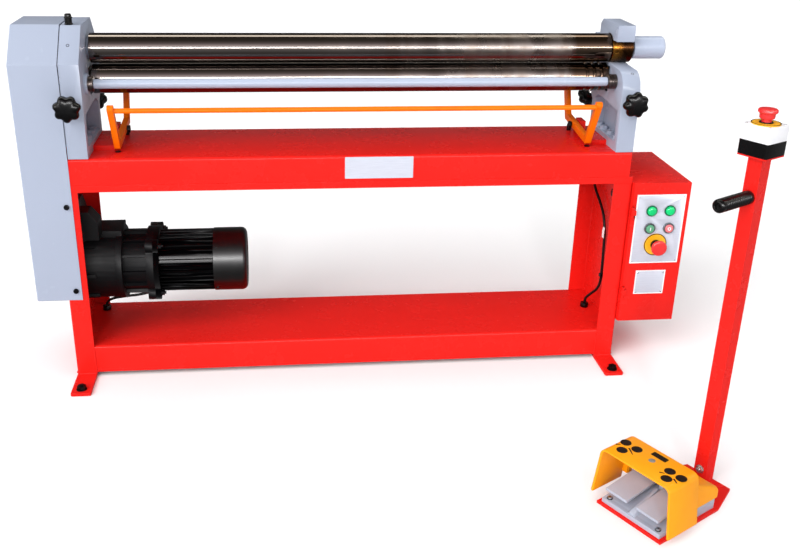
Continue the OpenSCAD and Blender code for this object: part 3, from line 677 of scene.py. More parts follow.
bm = B()
for z in (242, 460):
    for s in (-1, 1):
        capscrew(bm, "y", (-683, z), s * 134, s * 138, 13)
for yy in (-75, 75):
    for z in (180, 348):
        hexbolt(bm, "x", (yy, z), -704, -712, 18, 1.2)
for yy in (-64, 64):
    for z in (-64, 64):
        hexbolt(bm, "x", (yy, 264 + z), -487, -479, 13, 1.0, 0.4)
        lathe(bm, [(0, -479), (3.9, -479), (3.9, -475.6), (3.2, -475), (0, -475)], "x", (yy, 264 + z), 20)
finish_piece("drive_bolts_v", bm, BOLT, "machine", replaces=("drive_bolts",))

bm = B()
lathe(bm, [(0, 866), (4, 866), (4, 873), (9, 873), (9.4, 873.6), (9.4, 876), (8.2, 877), (8.2, 887), (9.2, 888), (9.2, 890), (7.6, 891), (7.6, 895), (6.4, 897.4), (3, 898), (0, 898)], "z", (-650, -52), 40)
finish_piece("oil_cup_v", bm, BLACK_P, "machine", replaces=("oil_cup",))

bm = B()
lathe(bm, [(22.6, 649.1), (35.2, 649.1), (36, 649.9), (36, 700.2), (35.2, 701), (23.4, 701), (22.6, 700.2)], "x", (0, 811), 72, closed=True)
finish_piece("top_bushes_v", bm, BRONZE, "machine", replaces=("top_bushes",))
bm = B()
lathe(bm, [(18.1, -668), (23.4, -668), (24, -667.4), (24, -618), (23, -617), (18.9, -617), (18.1, -617.8)], "x", (0, 811), 64, closed=True)
finish_piece("left_bush_v", bm, GREY, "machine")

# tie bar in front of the lower roll, with its turned collars
bm = B()
lathe(bm, solid_prof([(8, -640, -603), (11, -603, 627), (8, 627, 667)], 0.6), "x", (-74, 741), 64)
# tie bar in the lighter grey copy of the stand paint: painted light
finish_piece("tie_bar_v", bm, GREY_LIT_COPY, "machine", replaces=("tie_bar",))
bm = B()
lathe(bm, [(8.1, -615), (17.2, -615), (18, -614.2), (18, -604), (17, -603), (8.1, -603)], "x", (-74, 741), 64, closed=True)
lathe(bm, [(8.1, 627), (16.6, 627), (18, 628.4), (18, 633.4), (17.2, 634), (17.2, 635.2), (18, 635.8), (18, 641.6), (17.3, 642.2), (17.3, 643),
           (18, 643.6), (18, 648.4), (17.4, 649), (8.1, 649)], "x", (-74, 741), 64, closed=True)
finish_piece("tie_collars_v", bm, COLLAR, "machine")

# socket set screws in the front of the stands
bm = B()
for (x, yy, zz, tilt) in ((-648, -98.0, 833.9, 47.35), (677, -108.0, 766.75, 23.6)):
    t = B()
    lathe(t, [(0, -3.0), (2.0, -3.0), (2.0, -0.4), (2.6, 0.15), (3.6, 0.25), (4.0, -0.2), (4.0, -3.4), (0, -3.4)], "z", (0, 0), 24)
    t.transform(Matrix.Translation((x, yy, zz)) @ Matrix.Rotation(math.radians(tilt), 4, "X"))
    me = bpy.data.meshes.new("tmp")
    t.to_mesh(me)
    t.free()
    bm.from_mesh(me)
    bpy.data.meshes.remove(me)
finish_piece("set_screws_v", bm, BOLT, "machine")

# ------------------------------------------------------------------ rolls
bm = B()
lathe(bm, solid_prof([(17.5, -766, -670), (18, -670, -616), (35, -616, 646), (22.5, 646, 707), (19, 707, 760)], 0.4), "x", (0, 811), 128)
finish_piece("top_roll_v", bm, ROLL_T, "top_roll", replaces=("top_roll",))

bm = B()


def grooved(x, r0, R=35.0, n=8):
    out = []
    for k in range(n + 1):
        q = math.pi * k / n
        out.append((R - r0 * math.sin(q), x - r0 * math.cos(q)))
    return out


prof = [(0, -702), (16.7, -702), (17.5, -701.2), (17.5, -670), (20, -670), (20, -616), (33.8, -616), (35, -614.8)]
for x, g in ((591, 4), (609, 4.5), (627, 5)):
    prof += grooved(x, g)
prof += [(35, 644.8), (33.8, 646), (20, 646), (20, 691.2), (19.2, 692), (0, 692)]
lathe(bm, prof, "x", (0, 738.5), 128)
finish_piece("lower_roll_v", bm, ROLL_L, "lower_roll", replaces=("lower_roll",))

bm = B()
lathe(bm, solid_prof([(14, -666, -612), (35, -612, 639), (14, 639, 691)], 1.4), "x", (84, 738), 128)
finish_piece("rear_roll_v", bm, ROLL_R, "rear_roll", replaces=("rear_roll",))

bm = B()
prof = [(19, 707), (26.6, 707), (27.75, 708.2), (27.75, 782)]
for k in range(1, 7):
    q = math.pi / 2 * k / 6
    prof.append((21.75 + 6 * math.cos(q), 782 + 6 * math.sin(q)))
prof += [(8, 788), (7, 787.2), (0, 786.8)]
prof = [(0, 760.2), (19, 760.2)] + prof
lathe(bm, prof, "x", (0, 811), 72)
# lift handle in the lighter grey copy of the stand paint: painted light
finish_piece("lift_handle_v", bm, GREY_LIT_COPY, "top_roll", replaces=("lift_handle",))

for node, body, mat, bev in (("roll_gear_top", "top_roll", STEEL, 0.4), ("roll_gear_low", "lower_roll", STEEL, 0.4), ("drive_sprocket", "drive_sprocket", STEEL, 0.4),
                             ("pinch_blocks", "pinch_carriage", STEEL, 0.8), ("rear_blocks", "rear_carriage", STEEL, 0.8), ("adjuster_wedges", "wedges", STEEL, 0.8),
                             ("pivot_pins", "machine", BOLT, 0.6), ("trip_frame", "trip_frame", ORANGE, 1.2), ("cable_glands", "machine", BLACK_P, 0.8)):
    from_node(node, mat, body, bev, 2)

# ------------------------------------------------------------------ star knobs


def star_r(q, d=63.0, lobes=7):
    """Outline of the star: broad lobes joined by shallow hollows."""
    a = (q % (2 * math.pi / lobes)) - math.pi / lobes
    c, rl = d / 2 - 9.5, 9.5
    best = d * 0.42
    for cc in (-math.pi / lobes, math.pi / lobes):
        u = a - cc
        s = c * math.sin(u)
        if abs(s) < rl:
            best = max(best, c * math.cos(u) + math.sqrt(rl * rl - s * s))
    return best


def star_knob(bm, T, length):
    """Knob on its threaded screw; screw end at the origin, knob towards +Z, then placed with T."""
    tmp = B()
    n = 168
    raw = [star_r(2 * math.pi * i / n) for i in range(n)]
    for _ in range(4):
        raw = [(raw[i - 1] + 2 * raw[i] + raw[(i + 1) % n]) / 4 for i in range(n)]
    mean = sum(raw) / n
    L = length
    rows = [(0.62, 0.4, 0.0), (0.86, 0.8, 0.2), (0.955, 1.0, 1.6), (0.99, 1.0, 4.0), (1.0, 1.0, 7.0), (0.995, 1.0, 11.0), (0.965, 1.0, 15.0), (0.90, 0.95, 18.4),
            (0.80, 0.85, 20.8), (0.67, 0.65, 22.4), (0.52, 0.40, 23.3), (0.34, 0.15, 23.8), (0.16, 0.0, 24.0)]
    rings = []
    for k, lob, h in rows:
        rr = [k * (mean + (v - mean) * lob) for v in raw]
        rings.append([tmp.verts.new((rr[i] * math.cos(2 * math.pi * i / n), rr[i] * math.sin(2 * math.pi * i / n), L + h)) for i in range(n)])
    for A, C in zip(rings[:-1], rings[1:]):
        for i in range(n):
            tmp.faces.new((A[i], A[(i + 1) % n], C[(i + 1) % n], C[i]))
    cv = tmp.verts.new((0, 0, L + 24))
    for i in range(n):
        tmp.faces.new((rings[-1][i], rings[-1][(i + 1) % n], cv))
    tmp.faces.new(rings[0])
    lathe(tmp, [(0, L - 14), (14.4, L - 14), (15, L - 13.2), (15, L - 3), (16.5, L + 0.6), (0, L + 0.6)], "z", (0, 0), 48)
    me = bpy.data.meshes.new("tmp")
    tmp.transform(T)
    tmp.to_mesh(me)
    tmp.free()
    bm.from_mesh(me)
    bpy.data.meshes.remove(me)
    scr = B()
    lathe(scr, [(0, 0), (6.1, 0)] + thread_prof(7.0, 0.6, L - 14, 2.0) + [(0, L - 13.9)], "z", (0, 0), 32)
    scr.transform(T)
    me = bpy.data.meshes.new("tmp")
    scr.to_mesh(me)
    scr.free()
    k = len(bm.faces)
    bm.from_mesh(me)
    bpy.data.meshes.remove(me)
    bm.faces.ensure_lookup_table()
    for f in bm.faces[k:]:
        f.material_index = 1


for name, kx in (("front_knob_left", -650), ("front_knob_right", 671)):
    bm = B()
    turn = Matrix.Rotation(math.radians(10 if kx < 0 else 32), 4, "Z")
    star_knob(bm, Matrix.Translation((kx, -45.1, 705)) @ Matrix.Rotation(math.radians(90), 4, "X") @ turn, 116)
    finish_piece(name + "_v", bm, [BLACK_P, ZINC], name, replaces=(name,), sharp=40)
for name, kx in (("rear_knob_left", -650), ("rear_knob_right", 671)):
    bm = B()
    star_knob(bm, Matrix.Translation((kx, 84, 738)) @ Matrix.Rotation(math.radians(-135), 4, "X") @ Matrix.Translation((0, 0, 20.1)), 98)
    finish_piece(name + "_v", bm, [BLACK_P, ZINC], name, replaces=(name,), sharp=40)

# ------------------------------------------------------------------ gearmotor
from_node("gearbox_housing", CAST, "machine", 1.6, 3)
bm = B()
prism(bm, arc_poly([(-686.5, 354), (-625, 354), (-625, 400), (-640, 420), (-647, 428), (-686.5, 428)], [1, 3, 8, 5, 3, 1], 4), "y", -84, -32)
finish_piece("gearbox_lug_v", bm, CAST, "machine", bevel=1.6, segs=3)
from_node("motor_adapter", CAST, "machine", 1.4, 3)
from_node("motor_body", FINS, "machine", 0.7, 2)
# two smooth lands among the fins, on the side towards the front
bm = B()
for a0, a1 in ((16.0, 21.4), (23.0, 29.2)):
    aa = [math.radians(a0 + (a1 - a0) * i / 6) for i in range(7)]
    edge = [(-80.5 * math.cos(a), 264 + 80.5 * math.sin(a)) for a in aa] + [(-69.0 * math.cos(a), 264 + 69.0 * math.sin(a)) for a in reversed(aa)]
    prism(bm, edge, "x", -486.5, -353)
finish_piece("motor_lands_v", bm, LANDS, "machine", bevel=0.5)
repaint("drive_chain", STEEL)

bm = B()
prof = [(79, -352), (82, -352)]
prof += [(82, -282)]
for k in range(1, 9):
    q = math.pi / 2 * k / 8
    prof.append((67 + 15 * math.cos(q), -282 + 15 * math.sin(q)))
prof += [(64, -267), (63, -267.6), (63, -270), (60, -270.6), (24, -270.6), (22, -270), (22, -267.8), (20.6, -267.2), (0, -267.2)]
lathe(bm, prof, "x", (0, 264), 96)
for rr in (29, 36, 43, 50, 57):
    lathe(bm, [(rr - 1.3, -271), (rr - 1.3, -268.4), (rr - 0.8, -267.6), (rr + 0.8, -267.6), (rr + 1.3, -268.4), (rr + 1.3, -271)], "x", (0, 264), 72)
for k in range(8):
    q = 2 * math.pi * k / 8
    c, s_ = math.cos(q), math.sin(q)
    pts = [(21, -1.6), (63.5, -1.6), (63.5, 1.6), (21, 1.6)]
    prism(bm, [(a * c - b_ * s_, 264 + a * s_ + b_ * c) for a, b_ in pts], "x", -270.8, -267.4)
for k in range(4):
    q = math.radians(45 + 90 * k)
    c, s_ = math.cos(q), math.sin(q)
    a = Vector((-344, 81.0 * c, 264 + 81.0 * s_))
    b_ = Vector((-344, 84.6 * c, 264 + 84.6 * s_))
    tube(bm, [a, (a + b_) / 2, b_], 4.2, 16)
finish_piece("fan_cowl_v", bm, COWL, "machine", replaces=("fan_cowl",), sharp=38)

# ------------------------------------------------------------------ cables
ROUTES = {
    "motor_cable": [(-430, 100, 223.9), (-431, 101, 200), (-445, 100, 172), (-480, 92, 150), (-520, 84, 140), (-560, 78, 132), (-600, 77, 128), (-632, 80, 122), (-650, 85, 112), (-656, 86, 100)],
    "control_cable": [(665, 13, 100), (667, 10, 114), (675, -2, 132), (685, -16, 152), (690, -23, 176), (690, -25, 212), (690, -22, 250), (690, -18, 290), (690, -12, 325), (689, 8, 362), (687, 40, 388), (684, 70, 409), (684, 88, 422), (688, 97, 428), (694, 100, 430), (700, 100, 430)],
}
for name, ctrl in ROUTES.items():
    path = smooth_path(ctrl, 5)
    bm = B()
    tube(bm, path, 3.6, 16)
    ob = finish_piece(name + "_v", bm, RUBBER, "machine", replaces=("cables",))

# ------------------------------------------------------------------ plates
bm = B()
prism(bm, arc_poly([(-22, 520), (144, 520), (144, 574), (-22, 574)], 1.5, 3), "y", -132.05, -133)
finish_piece("deck_label_v", bm, PLATE, "machine", replaces=("deck_label",))

# ------------------------------------------------------------------ control box
BTN = ((758, 378), (808, 378))
LMP = ((758, 425), (806, 425))
STP = (779, 333)
from_node("control_shell", RED, "machine", 1.4, 3)
from_node("control_door", RED, "control_door", 1.4, 3)
from_node("panel_plates", PLATE, "control_door", 0.3, 2)


def rect(x0, x1, z0, z1):
    return [(x0, z0), (x1, z0), (x1, z1), (x0, z1)]


bm = B()
ring_prism(bm, rect(717.0, 844.5, 281.5, 467.5), rect(719.6, 841.9, 284.1, 464.9), "y", -142.45, -142.8)
ring_prism(bm, rect(738.4, 817.6, 193.4, 259.6), rect(740.6, 815.4, 195.6, 257.4), "y", -141.95, -142.3)
finish_piece("panel_border_v", bm, MARK_W, "control_door")
bm = B()
for x in (744, 812):
    for z in (199.2, 253.8):
        lathe(bm, [(0, -141.9), (2.4, -141.9), (2.4, -142.4), (1.9, -143.0), (1.0, -143.3), (0, -143.4)], "y", (x, z), 20)
for x in (722.6, 838.8):
    for z in (287.2, 461.8):
        lathe(bm, [(0, -142.4), (1.9, -142.4), (1.9, -142.9), (1.4, -143.3), (0, -143.5)], "y", (x, z), 18)
finish_piece("panel_rivets_v", bm, ZINC, "control_door")

bm = B()
for c in LMP:
    lathe(bm, [(0, -142.5), (14.5, -142.5), (14.5, -145.4), (13.9, -146.3), (12.5, -146.5), (11.9, -145.6), (11.9, -145.2), (0, -145.2)], "y", c, 48)
    lathe(bm, [(0, -112), (10.6, -112), (11, -112.4), (11, -142.4), (0, -142.4)], "y", c, 32)
finish_piece("pilot_rings_v", bm, LENS_RING, "control_door", replaces=("pilot_lights",))
bm = B()
for c in LMP:
    lathe(bm, [(0, -145.1), (11.7, -145.1), (11.7, -147.2), (11.1, -148.6), (9.4, -149.9), (6.6, -150.7), (3.3, -151), (0, -151)], "y", c, 48)
finish_piece("pilot_lens_v", bm, LENS_G, "control_door", sharp=60)

bm = B()
for c in BTN:
    lathe(bm, [(11, -142.5), (14.5, -142.5), (14.5, -146.8), (13.7, -148), (11.9, -148), (11.1, -147.2)], "y", c, 48, closed=True)
    lathe(bm, [(9.4, -142.6), (11, -142.6), (11, -112), (9.4, -112)], "y", c, 32, closed=True)
finish_piece("button_bezels_v", bm, BEZEL, "control_door", replaces=("button_bezels",))
bm = B()
lathe(bm, [(9.4, -144.1), (13, -144.1), (13, -150.2), (12.2, -151), (9.4, -151)], "y", STP, 48, closed=True)
lathe(bm, [(9.4, -144.2), (11, -144.2), (11, -112), (9.4, -112)], "y", STP, 32, closed=True)
finish_piece("panel_stop_collar_v", bm, BLACK_P, "control_door")
bm = B()
lathe(bm, [(11, -142.5), (30, -142.5), (30, -143.6), (29.6, -144), (11, -144)], "y", STP, 64, closed=True)
finish_piece("panel_stop_ring_v", bm, YELLOW_D, "control_door", replaces=("panel_stop_ring",))
bm = B()
lathe(bm, [(27.9, -143.9), (29.9, -143.9), (29.9, -144.25), (27.9, -144.25)], "y", STP, 64, closed=True)
finish_piece("panel_stop_rim_v", bm, INK, "control_door")

for node, c, mat, slot in (("start_button", BTN[0], BTN_G, "green_plastic"), ("stop_button", BTN[1], BTN_R, "red_plastic")):
    bm = B()
    lathe(bm, [(0, -118), (8.8, -118), (9.2, -118.5), (9.2, -147.4), (10.7, -147.6), (10.7, -149.9), (10.1, -150.7), (9.0, -151), (0, -151)], "y", c, 48)
    finish_piece(node + "_v", bm, mat, node, replaces=(node,))
bm = B()
prism(bm, arc_poly([(757.0, 373.6), (759.0, 373.6), (759.0, 382.4), (757.0, 382.4)], 0.6, 3), "y", -150.9, -151.35)
finish_piece("start_mark_v", bm, MARK_W, "start_button")
bm = B()
lathe(bm, [(2.7, -150.9), (4.5, -150.9), (4.5, -151.35), (2.7, -151.35)], "y", BTN[1], 32, closed=True)
finish_piece("stop_mark_v", bm, MARK_W, "stop_button")


def mushroom(bm, axis, c, a0, s, stem, hd, n):
    """Stop head: stem from a0 along s, ribbed neck, wide rounded cap."""
    k = hd / 2
    prof = [(0, 0.5), (8.8, 0.5), (9.25, 1.0), (9.25, stem - 0.4), (0.72 * k, stem), (0.76 * k, stem + 1.0)]
    rows = 4
    for i in range(rows):
        a = stem + 1.0 + (n - 2.2) * i / rows
        b_ = stem + 1.0 + (n - 2.2) * (i + 0.6) / rows
        prof += [(k * (0.765 + 0.010 * i), a), (k * (0.775 + 0.010 * i), b_)]
    t = stem + n
    prof += [(0.83 * k, t - 0.9), (0.93 * k, t - 0.2), (k, t + 1.2), (k, t + 4.0), (0.965 * k, t + 5.8), (0.88 * k, t + 7.0), (0.7 * k, t + 7.6), (0.4 * k, t + 7.8), (0, t + 7.8)]
    lathe(bm, [(r_, a0 + s * a) for r_, a in prof], axis, c, 56)


bm = B()
mushroom(bm, "y", STP, -120, -1, 38, 40, 10)
finish_piece("panel_stop_head_v", bm, RED_P, "panel_stop_head", replaces=("panel_stop_head",))

# ------------------------------------------------------------------ cable fittings seen on the right leg
bm = B()
for c in ((690, -25, 197.3),):
    box(bm, 685, 699.6, -31, -19, 193, 202)
    lathe(bm, [(0, 692.5), (3.2, 692.5), (3.2, 690.4), (2.4, 689.6), (0, 689.4)], "x", (-36, 197.5), 20)
    box(bm, 697, 699.8, -41, -19, 193, 202)
finish_piece("cable_clip_v", bm, BLACK_P, "machine", bevel=0.8)
bm = B()
prism(bm, arc_poly([(-25.5, 306), (-12.5, 306), (-12.5, 331), (-17, 336), (-25.5, 336)], 1.0, 3), "x", 683.4, 684.6)
prism(bm, arc_poly([(-24.0, 318), (-8.0, 318), (-8.0, 324), (-24.0, 324)], 1.0, 3), "x", 684.6, 685.8)
finish_piece("cable_tag_v", bm, MARK_W, "machine", bevel=0.2)

# ------------------------------------------------------------------ foot control
PU, PZ, BH, CH = 244.0, 738.0, 28.0, 30.0
from_node("foot_post", RED, "foot_stand", 2.2, 3)

# carry grip: moulded sleeve with shallow ribs and a hollow end
bm = B()
prof = [(0, 229.0), (13.0, 229.0), (13.5, 228.4), (13.5, 222.0)]
for i in range(15):
    a = 220.0 - i * 5.2
    prof += [(13.5, a), (12.7, a - 0.9), (12.7, a - 3.0), (13.5, a - 3.9)]
prof += [(13.5, 139.0)]
for k in range(1, 7):
    q = math.pi / 2 * k / 6
    prof.append((7.5 + 6 * math.cos(q), 138.0 - 6 * math.sin(q)))
prof += [(7.0, 132.2), (6.4, 133.0), (6.0, 137.0), (3.2, 137.4), (2.8, 135.4), (0, 135.2)]
lathe(bm, prof, "x", (0, 655), 56)
finish_piece("carry_grip_v", bm, GRIP, "foot_stand", M=FF, replaces=("carry_grip",), sharp=40)


def sq(h, r):
    return arc_poly([(PU - h, -h), (PU + h, -h), (PU + h, h), (PU - h, h)], r, 5)


def stack(bm, rows):
    loft(bm, [[(q[0], q[1], z) for q in sq(h, r)] for h, r, z in rows])


bm = B()
stack(bm, [(30.2, 4.0, PZ), (31, 4.0, PZ + 0.8), (31, 4.0, PZ + BH - 0.7), (30.4, 4.0, PZ + BH)])
for sx in (-1, 1):
    for sy in (-1, 1):
        lathe(bm, [(0, PZ - 0.9), (3.4, PZ - 0.9), (3.8, PZ - 0.3), (3.8, PZ + 0.4), (0, PZ + 0.4)], "z", (PU + sx * 22, sy * 22), 20)
finish_piece("stop_box_base_v", bm, BLACK_P, "foot_stand", M=FF, replaces=("stop_box_base",))
bm = B()
stack(bm, [(30.6, 4.0, PZ + BH + 0.1), (31, 4.0, PZ + BH + 0.7), (30.8, 4.0, PZ + BH + CH - 2.6), (30.1, 4.2, PZ + BH + CH - 0.9), (28.8, 4.0, PZ + BH + CH)])
finish_piece("stop_box_cover_v", bm, WHITE_P, "foot_stand", M=FF, replaces=("stop_box_cover",))
bm = B()
for sx in (-1, 1):
    for sy in (-1, 1):
        lathe(bm, [(0, PZ + BH + CH - 0.3), (2.6, PZ + BH + CH - 0.3), (2.6, PZ + BH + CH + 0.5), (2.0, PZ + BH + CH + 1.0), (0, PZ + BH + CH + 1.1)], "z", (PU + sx * 24.5, sy * 24.5), 18)
finish_piece("stop_box_screws_v", bm, ZINC, "foot_stand", M=FF)
zt = PZ + BH + CH
bm = B()
lathe(bm, [(11, zt), (27, zt), (27, zt + 1.5), (26.5, zt + 2), (11, zt + 2)], "z", (PU, 0), 64, closed=True)
finish_piece("post_stop_ring_v", bm, YELLOW_D, "foot_stand", M=FF, replaces=("post_stop_ring",))
bm = B()
lathe(bm, [(25.0, zt + 1.9), (26.9, zt + 1.9), (26.9, zt + 2.3), (25.0, zt + 2.3)], "z", (PU, 0), 64, closed=True)
lathe(bm, [(9.4, zt + 2), (13, zt + 2), (13, zt + 3.4), (12.4, zt + 4.0), (9.4, zt + 4.0)], "z", (PU, 0), 48, closed=True)
lathe(bm, [(9.4, zt + 2), (11, zt + 2), (11, zt - 27), (9.4, zt - 27)], "z", (PU, 0), 32, closed=True)
finish_piece("post_stop_collar_v", bm, BLACK_P, "foot_stand", M=FF)
bm = B()
mushroom(bm, "z", (PU, 0), zt - 19, 1, 29, 36, 11)
finish_piece("post_stop_head_v", bm, RED_P, "post_stop_head", M=FF, replaces=("post_stop_head",))

# hood: one bent arch with rounded shoulders, an inner wall and a lower sloping housing behind it
bm = B()
arch = arc_poly([(-100, 22), (-86, 134), (86, 134), (100, 22), (94, 22), (81, 130), (-81, 130), (-94, 22)], [2.4, 15, 15, 2.4, 2.4, 11, 11, 2.4], 7)


def thick(k):
    """Arch outline with its outer skin pulled in by k, for the rounded rims."""
    return arc_poly([(-100 + k, 22 + k), (-86 + k, 134 - k), (86 - k, 134 - k), (100 - k, 22 + k), (94 + k, 22 + k), (81 + k, 130 + k), (-81 - k, 130 + k), (-94 - k, 22 + k)],
                    [2.0, 15 - k, 15 - k, 2.0, 2.0, 11 + k, 11 + k, 2.0], 7)


loft(bm, [[(u, q[0], q[1]) for q in o_] for o_, u in ((thick(1.2), -2.0), (thick(0.35), -1.5), (arch, -0.6), (arch, 86.6), (thick(0.35), 87.5), (thick(1.2), 88.0))])
prism(bm, arc_poly([(-87.4, 72), (87.4, 72), (81.4, 131), (-81.4, 131)], 3.0, 4), "x", 84.2, 87.6)
for sy in (-1, 1):
    prism(bm, arc_poly([(sy * q[0], q[1]) for q in ((79.0, 41), (92.6, 41), (88.2, 77), (79.0, 77))][::sy], 0.8, 3), "x", 84.4, 87.8)


def ushape(w, h, t=4.0, z0=40.0):
    return arc_poly([(-w, z0), (-w, h), (w, h), (w, z0), (w - t, z0), (w - t, h - t * 1.1), (-w + t, h - t * 1.1), (-w + t, z0)], [0.8, 8, 8, 0.8, 0.8, 5, 5, 0.8], 5)


loft(bm, [[(u, q[0], q[1]) for q in ushape(82, h)] for u, h in ((87.6, 104.1), (120, 89.6), (150, 76.1), (165, 69.3), (172, 64.6))])
endw = [(172.0, 82.0, 64.6), (174.4, 81.6, 62.0), (175.6, 80.6, 59.6), (176.0, 79.4, 58.0)]
loft(bm, [[(u, q[0], q[1]) for q in arc_poly([(-w_, 40), (-w_, h), (w_, h), (w_, 40)], [0.8, 8, 8, 0.8], 5)] for u, w_, h in endw])
finish_piece("pedal_hood_v", bm, YELLOW_P, "foot_stand", M=FF, replaces=("pedal_hood",), sharp=38)

# marks moulded in the roof of the hood: three rolls and a short stroke for each pedal, a slot and a lens
bm = B()


def stroke(bm, a, b_, w_, z):
    d = Vector(b_) - Vector(a)
    nrm = Vector((-d.y, d.x)).normalized() * w_ / 2
    a, b_ = Vector(a), Vector(b_)
    prism(bm, [tuple(a + nrm), tuple(b_ + nrm * 0.4), tuple(b_ - nrm * 0.4), tuple(a - nrm)], "z", z - 0.3, z + 0.25)


for grp in (((54.8, 69.8), (54.0, 40.5), (27.0, 56.6)), ((47.5, -46.9), (47.0, -74.4), (22.2, -58.1))):
    for c in grp:
        lathe(bm, [(0, 133.7), (11.4, 133.7), (11.4, 134.15), (11.1, 134.25), (0, 134.25)], "z", c, 40)
stroke(bm, (33.5, 78.5), (39.5, 70.5), 3.4, 134.1)
stroke(bm, (44.0, 52.5), (32.0, 33.5), 3.8, 134.1)
stroke(bm, (28.0, -36.5), (33.5, -45.5), 3.4, 134.1)
stroke(bm, (33.0, -67.0), (26.5, -80.0), 3.8, 134.1)
prism(bm, arc_poly([(63.5, 14.0), (77.5, 14.0), (77.5, -22.0), (63.5, -22.0)], 1.2, 3), "z", 133.7, 134.25)
finish_piece("hood_marks_v", bm, INK, "foot_stand", M=FF)
bm = B()
lathe(bm, [(0, 133.7), (7.0, 133.7), (7.0, 134.3), (6.4, 134.6), (4.0, 134.9), (0, 135.0)], "z", (47.6, -2.7), 36)
finish_piece("hood_lens_v", bm, MARK_G, "foot_stand", M=FF, sharp=50)

from_node("switch_base", GREY_P, "foot_stand", 1.6, 3)
# rib between the pedals
bm = B()
secs = []
for u, w_, z1 in ((9, 10.5, 19.0), (12, 10.5, 22.0), (40, 8.0, 33.0), (72, 6.0, 46.0), (84, 5.4, 50.0)):
    secs.append([(u, q[0], q[1]) for q in arc_poly([(-w_, 15.5), (-w_ * 0.55, z1), (w_ * 0.55, z1), (w_, 15.5)], [0.5, 2, 2, 0.5], 3)])
loft(bm, secs)
finish_piece("base_rib_v", bm, GREY_P, "foot_stand", M=FF)
for node in ("pedal_left", "pedal_right"):
    from_node(node, GREY_P, node, 1.8, 3)

bm = B()
# dark ring round each screw head and dark cross on it: painted shade of the counterbore and the cross recess
recess_shade = B()
for v in (-62, 62):
    lathe(bm, [(0, 17.3), (5, 17.3), (5, 18.6), (4.4, 19.9), (2.8, 20.5), (0, 20.6)], "z", (16, v), 28)
    lathe(bm, [(0, 6), (2.4, 6), (2.4, 17.4), (0, 17.4)], "z", (16, v), 16)
    lathe(recess_shade, [(5.0, 16.2), (6.2, 16.2), (6.2, 17.3), (5.8, 17.6), (5.0, 17.5)], "z", (16, v), 28, closed=True)
    for q in (0.6, 0.6 + math.pi / 2):
        stroke(recess_shade, (16 - 2.6 * math.cos(q), v - 2.6 * math.sin(q)), (16 + 2.6 * math.cos(q), v + 2.6 * math.sin(q)), 1.1, 20.5)
hexbolt(bm, "x", (0, 40), 229, 222, 13, 1.0)
lathe(bm, [(0, 222), (4, 222), (4, 219.6), (3.3, 219), (0, 219)], "x", (0, 40), 20)
lathe(bm, [(6.5, 229), (9.5, 229), (9.5, 227.8), (6.5, 227.6)], "x", (0, 40), 28, closed=True)
lathe(bm, [(0, -77.5), (3.9, -77.5), (3.9, 77.5), (0, 77.5)], "y", (108, 56), 24)
finish_piece("foot_screws_v", bm, ZINC, "foot_stand", M=FF, replaces=("foot_screws",))
finish_piece("screw_recess_shade_v", recess_shade, BOLT, "foot_stand", M=FF)

# ------------------------------------------------------------------ stage: pale floor and soft light
bpy.ops.mesh.primitive_plane_add(size=60, location=(0, 0, 0))
floor = bpy.context.active_object
floor.name = "floor"
fm = Mat("floor")
fm.col(fm.ramp(fm.noise(0.8, 3.0), [(0.3, (0.90, 0.90, 0.905, 1)), (0.7, (0.93, 0.93, 0.935, 1))]))
fm.set(Roughness=0.9)
fm.b.inputs["Specular IOR Level"].default_value = 0.0
floor.data.materials.append(fm.m)
floor.visible_glossy = False

w = bpy.data.worlds.new("studio")
bpy.context.scene.world = w
w.use_nodes = True
wt = w.node_tree
bg = wt.nodes["Background"]
bg.inputs["Color"].default_value = (1, 1, 1, 1)
bg.inputs["Strength"].default_value = 0.55
# what shiny surfaces see, by the angle from the front horizon up and over to the back: a light strip in
# front, a dim ceiling with one lamp line, and a floor that is paler near the machine
room = wt.nodes.new("ShaderNodeBackground")
room.inputs["Strength"].default_value = 1.0
tcw = wt.nodes.new("ShaderNodeTexCoord")
sepw = wt.nodes.new("ShaderNodeSeparateXYZ")
wt.links.new(tcw.outputs["Generated"], sepw.inputs["Vector"])
neg = wt.nodes.new("ShaderNodeMath")
neg.operation = "MULTIPLY"
neg.inputs[1].default_value = -1.0
wt.links.new(sepw.outputs["Y"], neg.inputs[0])
atan = wt.nodes.new("ShaderNodeMath")
atan.operation = "ARCTAN2"
wt.links.new(sepw.outputs["Z"], atan.inputs[0])
wt.links.new(neg.outputs[0], atan.inputs[1])
span = wt.nodes.new("ShaderNodeMapRange")
span.inputs["From Min"].default_value = -math.pi
span.inputs["From Max"].default_value = math.pi
wt.links.new(atan.outputs[0], span.inputs["Value"])
rampw = wt.nodes.new("ShaderNodeValToRGB")
STRIP = [(-180, (0.24, 0.24, 0.25)), (-130, (0.30, 0.30, 0.31)), (-90, (0.26, 0.25, 0.25)), (-60, (0.20, 0.18, 0.175)), (-26, (0.20, 0.195, 0.195)),
         (-18, (0.30, 0.30, 0.30)), (-8, (0.42, 0.42, 0.43)), (0, (0.60, 0.59, 0.60)), (6, (0.95, 0.94, 0.95)), (10, (1.9, 1.9, 1.95)), (18, (2.2, 2.15, 2.2)),
         (24, (1.9, 1.75, 1.82)), (32, (1.15, 1.02, 1.08)), (40, (0.62, 0.54, 0.56)), (50, (0.34, 0.29, 0.29)), (60, (0.20, 0.175, 0.165)),
         (70, (0.13, 0.118, 0.10)), (104, (0.10, 0.09, 0.075)), (109, (6.0, 5.8, 5.2)), (117, (6.0, 5.8, 5.2)), (122, (0.40, 0.37, 0.33)), (136, (0.08, 0.072, 0.065)),
         (160, (0.05, 0.05, 0.05)), (180, (0.20, 0.20, 0.21))]
el = rampw.color_ramp.elements
while len(el) < len(STRIP):
    el.new(0.5)
